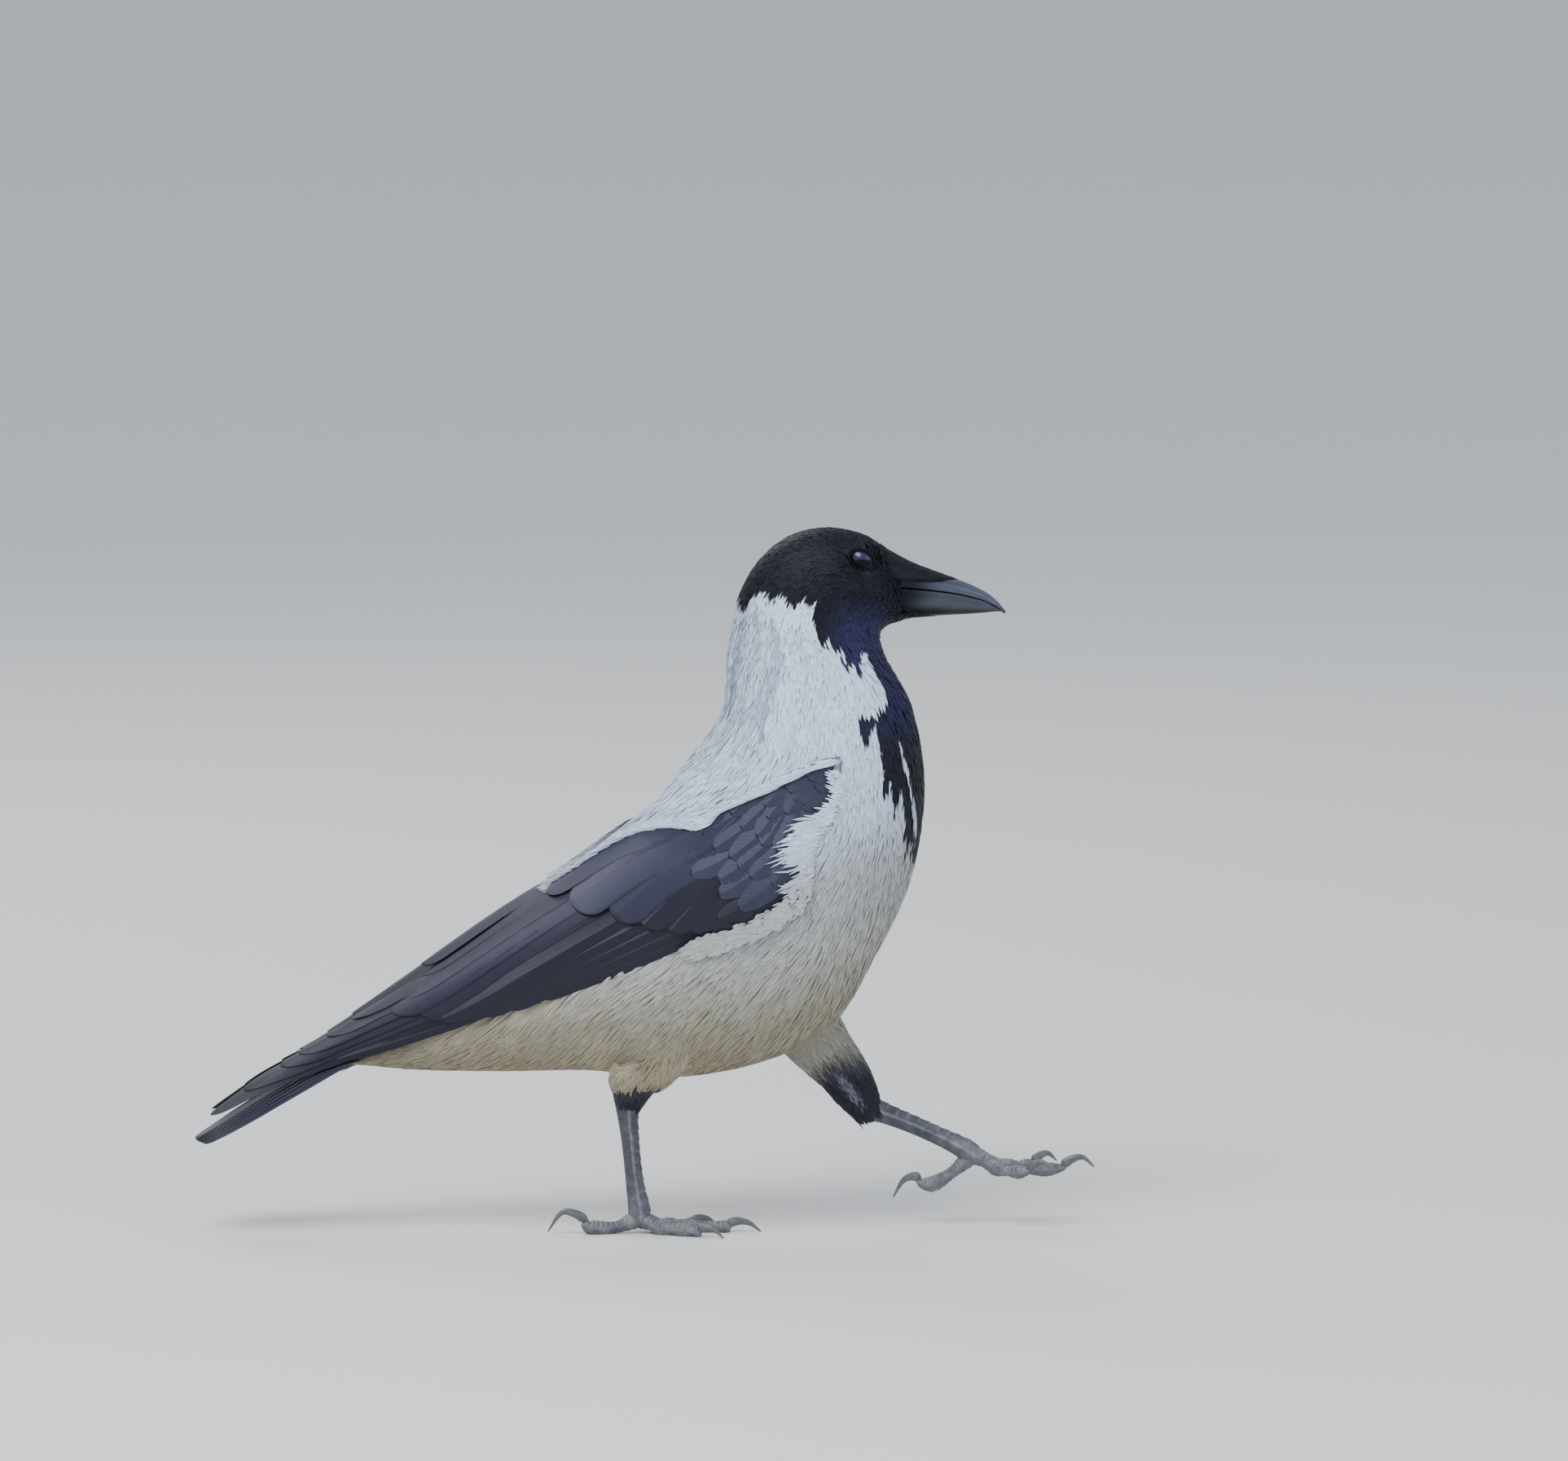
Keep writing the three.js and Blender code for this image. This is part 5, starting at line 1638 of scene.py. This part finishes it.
# ---------------------------------------------------------------- the skin
def skin_depth(points):
    """How deep the skin lies under the coat's outside, in mm."""
    x, z = points[:, 0], points[:, 2]
    headward = smooth(*HEAD_DEPTH_Z, z + 0.2 * (x - 80))
    depth = COAT_DEPTH["body"] + (COAT_DEPTH["neck"] - COAT_DEPTH["body"]) * smooth(*NECK_DEPTH_Z, z)
    depth = depth + (COAT_DEPTH["head"] - depth) * headward
    depth = depth - 0.9 * smooth(*BRISTLE_DEPTH_X, x)
    return np.where(z < HEEL_DEPTH_Z[1], 1.0 + 2.2 * smooth(*HEEL_DEPTH_Z, z), depth)


def join_flesh():
    """One closed mesh around all the flesh nodes."""
    joined = bmesh.new()
    for node in FLESH:
        joined.from_mesh(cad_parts[node].data)
    mesh = bpy.data.meshes.new("skin_source")
    joined.to_mesh(mesh)
    joined.free()
    source = put("skin_source", mesh)
    remesh = source.modifiers.new("remesh", "REMESH")
    remesh.mode = "VOXEL"
    remesh.voxel_size = SKIN_CELL
    relax = source.modifiers.new("relax", "SMOOTH")
    relax.factor = 0.5
    relax.iterations = 12
    graph = bpy.context.evaluated_depsgraph_get()
    whole = bpy.data.meshes.new_from_object(source.evaluated_get(graph))
    bpy.data.objects.remove(source)
    return whole


def make_skin():
    """The flesh as one surface, sunk under the coat and marked as the coat is."""
    whole = join_flesh()
    count = len(whole.vertices)
    points, normals = np.zeros(count * 3, np.float32), np.zeros(count * 3, np.float32)
    whole.vertices.foreach_get("co", points)
    whole.vertices.foreach_get("normal", normals)
    points = points.reshape(-1, 3) * 1000 - ROW_SHIFT
    normals = normals.reshape(-1, 3)
    points = set_round_eyes(points)
    points = points - normals * skin_depth(points)[:, None]
    whole.vertices.foreach_set("co", to_row(points).astype(np.float32).ravel())
    whole.update()
    skin = put("skin", whole)
    for polygon in whole.polygons:
        polygon.use_smooth = True
    dark = is_black(points) & (points[:, 2] > 150)
    paint(skin, "tint", coat_colour(points, dark) * DOWN_SHARE)
    whole.materials.clear()
    whole.materials.append(grey_plumage)
    whole.materials.append(black_plumage)
    for polygon in whole.polygons:
        polygon.material_index = int(dark[polygon.vertices[0]])
    return skin


skin = make_skin()
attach(skin, "root")
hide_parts(*FLESH)

for thing, slot in coat.build("coat"):
    finish_piece(thing, black_plumage if slot == "black_plumage" else grey_plumage)


# ---------------------------------------------------------------- bill, eyes, legs and claws
def horn_material(name, base, worn, roughness, stretch):
    """Horn: fine streaks, duller and paler where it is worn."""
    looks = Looks(name, roughness, specular=0.8)
    streaks = looks.noise(420, 4, 0.6, stretch)
    looks.colour(looks.ramp(streaks, (0.25, worn), (0.75, base)))
    spread = {0: looks.noise(700, 3), "To Min": roughness - 0.07, "To Max": roughness + 0.12}
    rough = looks.node("ShaderNodeMapRange", spread)
    # The tint also tints the reflection; on the bill it carries painted shade and a painted sheen.
    looks.feed(looks.shader, {"Roughness": rough, "Specular Tint": looks.tint()})
    looks.relief(streaks, 0.25)
    return looks.made


def height_in_ring(grid):
    """Each point's height as a share of its ring's, 0 at the lowest point."""
    z = grid[..., 2]
    return (z - z.min(1, keepdims=True)) / np.ptp(z, axis=1)[:, None]


def shape_bill(name, grid):
    """Flattens a half where it meets the other: the upper gets a ridge and a groove, the lower a lip."""
    x, y, z = grid[..., 0], grid[..., 1], grid[..., 2]
    wide = np.abs(y).max(1, keepdims=True)
    widest = z[np.arange(len(z)), np.abs(y).argmax(1)][:, None]
    meeting = (z < widest) if name == "bill_upper" else (z > widest)
    power = BILL_MEETING + (1 - BILL_MEETING) * smooth(168, 176, x)
    y = np.where(meeting, np.sign(y) * wide * (np.abs(y) / wide) ** power, y)
    grid[..., 1] = y
    if name == "bill_upper":
        ridge = bell(y, 0, RIDGE_HALF) * RIDGE_HIGH
        ridge = ridge * smooth(*RIDGE_START, x) * (1 - smooth(*RIDGE_END, x))
        grid[..., 2] = z + ridge * (z > z.mean(1, keepdims=True))
        groove = bell(height_in_ring(grid), GROOVE_AT, GROOVE_HALF) * GROOVE_DEEP
        groove = groove * (1 - smooth(*GROOVE_END, x))
        grid[..., 1] = y - np.sign(y) * groove
    else:
        above = smooth(0.62, 0.95, height_in_ring(grid))
        grid[..., 1] = y * (0.99 - 0.015 * above)
        grid[..., 2] = z + 0.28 * above


def bill_tint(name, grid, points):
    """Darker at the root; painted shade along the mouth line and under the bill; a painted bluish sheen
    along the side.
    """
    mouth = np.interp(points[:, 0], MOUTH_LINE[:, 0], MOUTH_LINE[:, 1])
    # Painted shade along the mouth line.
    mouth_line_shade = bell(points[:, 2], mouth, 0.4)[:, None]
    shadow = (smooth(152, 140, points[:, 0]) * smooth(301, 296, points[:, 2]))[:, None]
    root = smooth(145, 127, points[:, 0] - 0.5 * (points[:, 2] - 303))[:, None]
    rise = (points[:, 2] - mouth) / 7
    # A painted sheen: a bluish band along the side, over the mouth line.
    sheen = bell(rise, 0.45, 0.3)[:, None]
    # Painted shade on the lower bill's underside.
    under = smooth(0.42, 0.1, height_in_ring(grid))
    under = np.append(under.ravel(), [0, 0])[:, None] * (name == "bill_lower")
    tint = (BILL_TINT + sheen * BILL_PAINTED_SHEEN) * (1 - 0.72 * under)
    return (1 - 0.4 * mouth_line_shade) * (1 - 0.6 * shadow) * (1 - 0.78 * root) * tint


def add_bill(looks):
    """Both halves of the bill."""
    for rows, name in ((BILL_UPPER, "bill_upper"), (BILL_LOWER, "bill_lower")):
        grid = ring_grid(rows, along=110, around=72, squareness=BILL_SQUARENESS)
        shape_bill(name, grid)
        points, faces = capped_tube(grid)
        thing = link(f"{name}_horn", points, faces)
        paint(thing, "tint", bill_tint(name, grid, points))
        finish_piece(thing, looks, [name])


def eye_material():
    """A wet dark eye with a painted reflection of the sky: more reflective above than below."""
    looks = Looks("eye_looks", roughness=0.3, specular=1.0)
    looks.colour(looks.ramp(looks.noise(1400, 4), (0.3, (0.6, 0.6, 0.6)), (0.7, (1, 1, 1))))
    looks.feed(looks.shader, {"IOR": 1.7, "Specular Tint": looks.tint("gloss")})
    return looks.made


def lid_material():
    """The lids' bare dull skin."""
    looks = Looks("lid_looks", roughness=0.85, specular=0.05)
    shades = looks.ramp(looks.noise(1500, 4), (0.3, (0.005, 0.005, 0.007)), (0.7, (0.012, 0.012, 0.016)))
    looks.feed(looks.shader, {"Base Color": shades})
    looks.relief(looks.noise(1800, 4), 0.5, 0.0003)
    return looks.made


def add_eyes():
    """Each eye's ball with a darker middle, and its lids."""
    eye_looks = eye_material()
    lid_looks = lid_material()
    for label, side in SIDES.items():
        centre = EYE_AT * [1, side, 1]
        polar = np.linspace(0.02, EYE_LENS, 40)[:, None, None]
        turn = circle(72)[None, :, None]
        spread = EYE_RADIUS * np.sin(polar)
        grid = np.concatenate([
            centre[0] + spread * np.cos(turn),
            centre[1] + side * EYE_RADIUS * np.cos(polar) + 0 * turn,
            centre[2] + EYE_FLAT * spread * np.sin(turn) - LID_SLOPE * spread * np.cos(turn),
        ], 2)
        points, faces = capped_tube(grid if side > 0 else grid[:, ::-1])
        thing = link(f"eye_{label}_ball", points, faces)
        out = np.hypot(points[:, 0] - centre[0], points[:, 2] - centre[2])
        iris = smooth(*PUPIL_EDGE, out)[:, None] * (1 - smooth(*IRIS_EDGE, out))[:, None]
        paint(thing, "tint", EYE_DARK + iris * IRIS_PALER)
        # A painted reflection: the upper half of the ball reflects the sky, the lower half little of it.
        painted_sky = smooth(*PAINTED_SKY_RISE, points[:, 2] - centre[2])[:, None]
        paint(thing, "gloss", (0.12 + 0.88 * painted_sky) * EYE_PAINTED_SKY)
        finish_piece(thing, eye_looks, [f"eye_{label}"])
        add_lid(label, side, lid_looks)


def add_lid(label, side, looks):
    """The bare rim of the lids, in two folds."""
    around = circle(120)
    section = np.array(LID_SECTION)
    pleat = 1 + 0.012 * np.sin(around * 24) + 0.008 * np.sin(around * 43 + 1)
    share = 1 + (section[None, :, 0] - 1) * pleat[:, None]
    corner = 1 + 0.07 * bell(around, math.pi, 0.25)
    x = EYE_WIDE * np.cos(around)[:, None] * share * corner[:, None]
    z = EYE_TALL * np.sin(around)[:, None] * share
    bead = 0.07 * np.sin(around * 31)[:, None] * (section[None, :, 1] > 0)
    y = LID_LEVEL + section[None, :, 1] + bead
    grid = np.stack([EYE_AT[0] + x, side * y, EYE_AT[2] + z - LID_SLOPE * x], -1)
    count = len(section)
    faces = tube_faces(len(around) + 1, count) % (len(around) * count)
    ring = link(f"lid_{label}", grid.reshape(-1, 3), faces)
    paint(ring, "tint", np.ones((len(grid) * count, 3)))
    finish_piece(ring, looks)


def scute_material():
    """Leg scales: dark grey, dusty in the furrows, with fine pitted skin."""
    looks = Looks("leg_looks", roughness=0.55, specular=0.45)
    dust = looks.noise(210, 5, 0.65)
    looks.colour(looks.ramp(dust, (0.32, (0.5, 0.52, 0.58)), (0.72, (1.6, 1.56, 1.46))))
    place = looks.node("ShaderNodeTexCoord", output="Object")
    cells = looks.node("ShaderNodeTexVoronoi", {"Scale": 900, "Vector": place})
    looks.relief(cells, 0.35, 0.0003)
    return looks.made


def scuted(path, deep, wide, around, pitch, plate, front_at=0.0, furrows=1.0, seams=0.3):
    """A limb with overlapping plates `pitch` apart, `plate` thick, and the dust in its furrows.

    They lie on its front, which `front_at` turns round it.
    """
    grid = limb_grid(path, deep, wide, around)
    angle = circle(around)
    front = smooth(0.05, 0.55, np.cos(angle - front_at))
    phase = (run_length(path) / pitch) % 1
    saw = phase**1.5 - 0.35
    furrow = bell(np.minimum(phase, 1 - phase), 0, 0.09)
    lift = plate * (saw[:, None] * front[None, :])
    seam = bell(np.cos(angle - front_at), 0.12, 0.13)[None, :]
    outward = unit(grid - path[:, None])
    grid = grid + outward * (lift - 0.5 * plate * seam)[..., None]
    dust = np.clip(furrows * furrow[:, None] * front[None, :] + seams * seam, 0, 1)
    return grid, dust


def leg_piece(name, grid, dust, looks, replaced, base=LEG_GREY):
    """A piece of a leg or a claw, cut flat at the floor."""
    grid[..., 2] = np.maximum(grid[..., 2], 0.0)
    points, faces = capped_tube(grid)
    thing = link(name, points, faces)
    share = np.append(dust.ravel(), [0, 0])[:, None]
    paint(thing, "tint", base * (1 - share) + LEG_DUST * share)
    finish_piece(thing, looks, replaced)


def toe_line(foot, side, length, turn, heights):
    """A toe's path: its points as shares of its length, with heights over the foot's middle."""
    heading = math.radians(turn) * side
    heights = np.array(heights, float)
    reach = TOE_START + heights[:, 0] * length
    x, out, z = foot["at"]
    y = side * out + reach * np.sin(heading)
    return np.stack([x + reach * np.cos(heading), y, z + heights[:, 1]], 1)


def add_foot(label, looks, claw_looks):
    """Four scaled toes, knobbly underneath, each with its claw."""
    foot = FOOT[label]
    for number, (length, turn, root, end, joints, chord) in TOES.items():
        kind = "hind" if number == 1 else "fore"
        t = np.linspace(0, 1, 90)
        path = curve(toe_line(foot, SIDES[label], length, turn, foot[kind]), t)
        swell = JOINT_SWELL * np.cos(2 * math.pi * t * (joints + 0.5))
        closing = np.sqrt(np.maximum(0.01, 1 - (np.maximum(0, t - 0.88) / 0.12) ** 2))
        closing = closing * (1 - 0.2 * smooth(0.7, 1, t))
        radius = (root + (end - root) * t + swell) * closing
        front_at = math.pi if kind == "hind" else 0
        grid, dust = scuted(
            path, radius, radius * 0.96, TOE_ROUND, pitch=2.5, plate=0.34, front_at=front_at
        )
        under = grid[..., 2] < path[:, None, 2]
        knobs = 0.3 * np.sin(path[:, None, 0] * 2.3) * np.sin(np.arange(TOE_ROUND)[None, :] * 1.1)
        grid[..., 2] += np.where(under, knobs, 0)
        name = f"toe_{label}_{number}"
        leg_piece(f"{name}_skin", grid, 0.22 + 0.4 * dust, looks, [name])

        ahead = unit((path[-1] - path[-3]) * [1, 1, 0])
        claw = claw_grid(path[-1], ahead, chord, foot["at"][2], foot[f"{kind}_claw"])
        name = f"claw_{label}_{number}"
        leg_piece(f"{name}_horn", claw, np.zeros(claw.shape[:2]), claw_looks, [name], 1.0)


def claw_grid(root, ahead, chord, floor, shape):
    """A claw from a toe's end: shape is its reach in chords, its rise and its tip's height."""
    reach, rise, tip = shape
    way, height = CLAW_ARC.T
    lean = (floor + tip - root[2]) / chord - height[-1]
    height = height + way * lean + rise * np.sin(math.pi * np.maximum(0, way))
    arc = root + ahead * (way * reach * chord)[:, None] + np.outer(height * chord, [0, 0, 1])
    t = np.linspace(0, 1, 40)
    radius = CLAW_ROOT + (CLAW_TIP - CLAW_ROOT) * t**1.35
    radius = radius * np.sqrt(0.1 + 0.9 * smooth(0, 0.16, t))
    return limb_grid(curve(arc, t), radius, radius * 0.7, CLAW_ROUND)


def add_shank(label, looks):
    """The bare leg from the heel to the foot, dustier downwards."""
    rows = limb_rows(SHANK, label, 170)
    grid, dust = scuted(
        rows[:, :3], rows[:, 3], rows[:, 4], SHANK_ROUND, pitch=5.2, plate=0.42, furrows=0.3, seams=0.6
    )
    dust = 0.7 * dust + 0.2 * smooth(0.35, 1, np.linspace(0, 1, len(grid)))[:, None]
    leg_piece(f"shank_{label}_skin", grid, dust, looks, [f"shank_{label}"])


bill_looks = horn_material("bill_looks", BILL_HORN, BILL_WORN, roughness=0.32, stretch=(0.12, 1, 1))
claw_looks = horn_material("claw_looks", CLAW_HORN, CLAW_WORN, roughness=0.45, stretch=(1, 1, 1))
leg_looks = scute_material()
add_bill(bill_looks)
add_eyes()
for label in SIDES:
    add_shank(label, leg_looks)
    add_foot(label, leg_looks, claw_looks)


# ---------------------------------------------------------------- camera, floor and light
def look_at(thing, target):
    """Turns a camera or a lamp towards a point."""
    thing.rotation_euler = (Vector(target) - thing.location).to_track_quat("-Z", "Y").to_euler()


def set_stage():
    """A pale floor that curves up behind, three soft lamps, and the camera."""
    scene = bpy.context.scene
    camera = put("camera", bpy.data.cameras.new("camera"))
    camera.location = AIM + VIEW_FAR * Vector((0, -math.cos(VIEW_RISE), math.sin(VIEW_RISE)))
    look_at(camera, AIM)
    camera.data.sensor_width = SENSOR
    camera.data.lens = SENSOR * VIEW_FAR / VIEW_WIDE
    camera.data.clip_end = 100
    scene.camera = camera

    profile = [(-FLOOR_HALF, 0.0), (FLOOR_BACK, 0.0)]
    for angle in np.linspace(0.02, math.pi / 2, 48):
        y = FLOOR_BACK + FLOOR_CURVE * math.sin(angle)
        profile.append((y, FLOOR_CURVE - FLOOR_CURVE * math.cos(angle)))
    points = [(x, y, z) for y, z in profile for x in (-FLOOR_HALF, FLOOR_HALF)]
    faces = [(2 * i, 2 * i + 1, 2 * i + 3, 2 * i + 2) for i in range(len(profile) - 1)]
    mesh = bpy.data.meshes.new("floor")
    mesh.from_pydata(points, [], faces)
    mesh.polygons.foreach_set("use_smooth", [True] * len(faces))
    floor = put("floor", mesh)
    looks = Looks("floor_looks", roughness=0.9, specular=0.2)
    looks.feed(looks.shader, {"Base Color": FLOOR_COLOUR})
    floor.data.materials.append(looks.made)

    world = bpy.data.worlds.new("studio")
    world.use_nodes = True
    world.node_tree.nodes["Background"].inputs["Color"].default_value = SKY_COLOUR
    world.node_tree.nodes["Background"].inputs["Strength"].default_value = SKY_STRENGTH
    scene.world = world
    for name, place, size, power in LAMPS:
        lamp = put(name, bpy.data.lights.new(name, "AREA"))
        lamp.data.size = size
        lamp.data.energy = power
        lamp.location = place
        look_at(lamp, LAMPS_AIM)


set_stage()
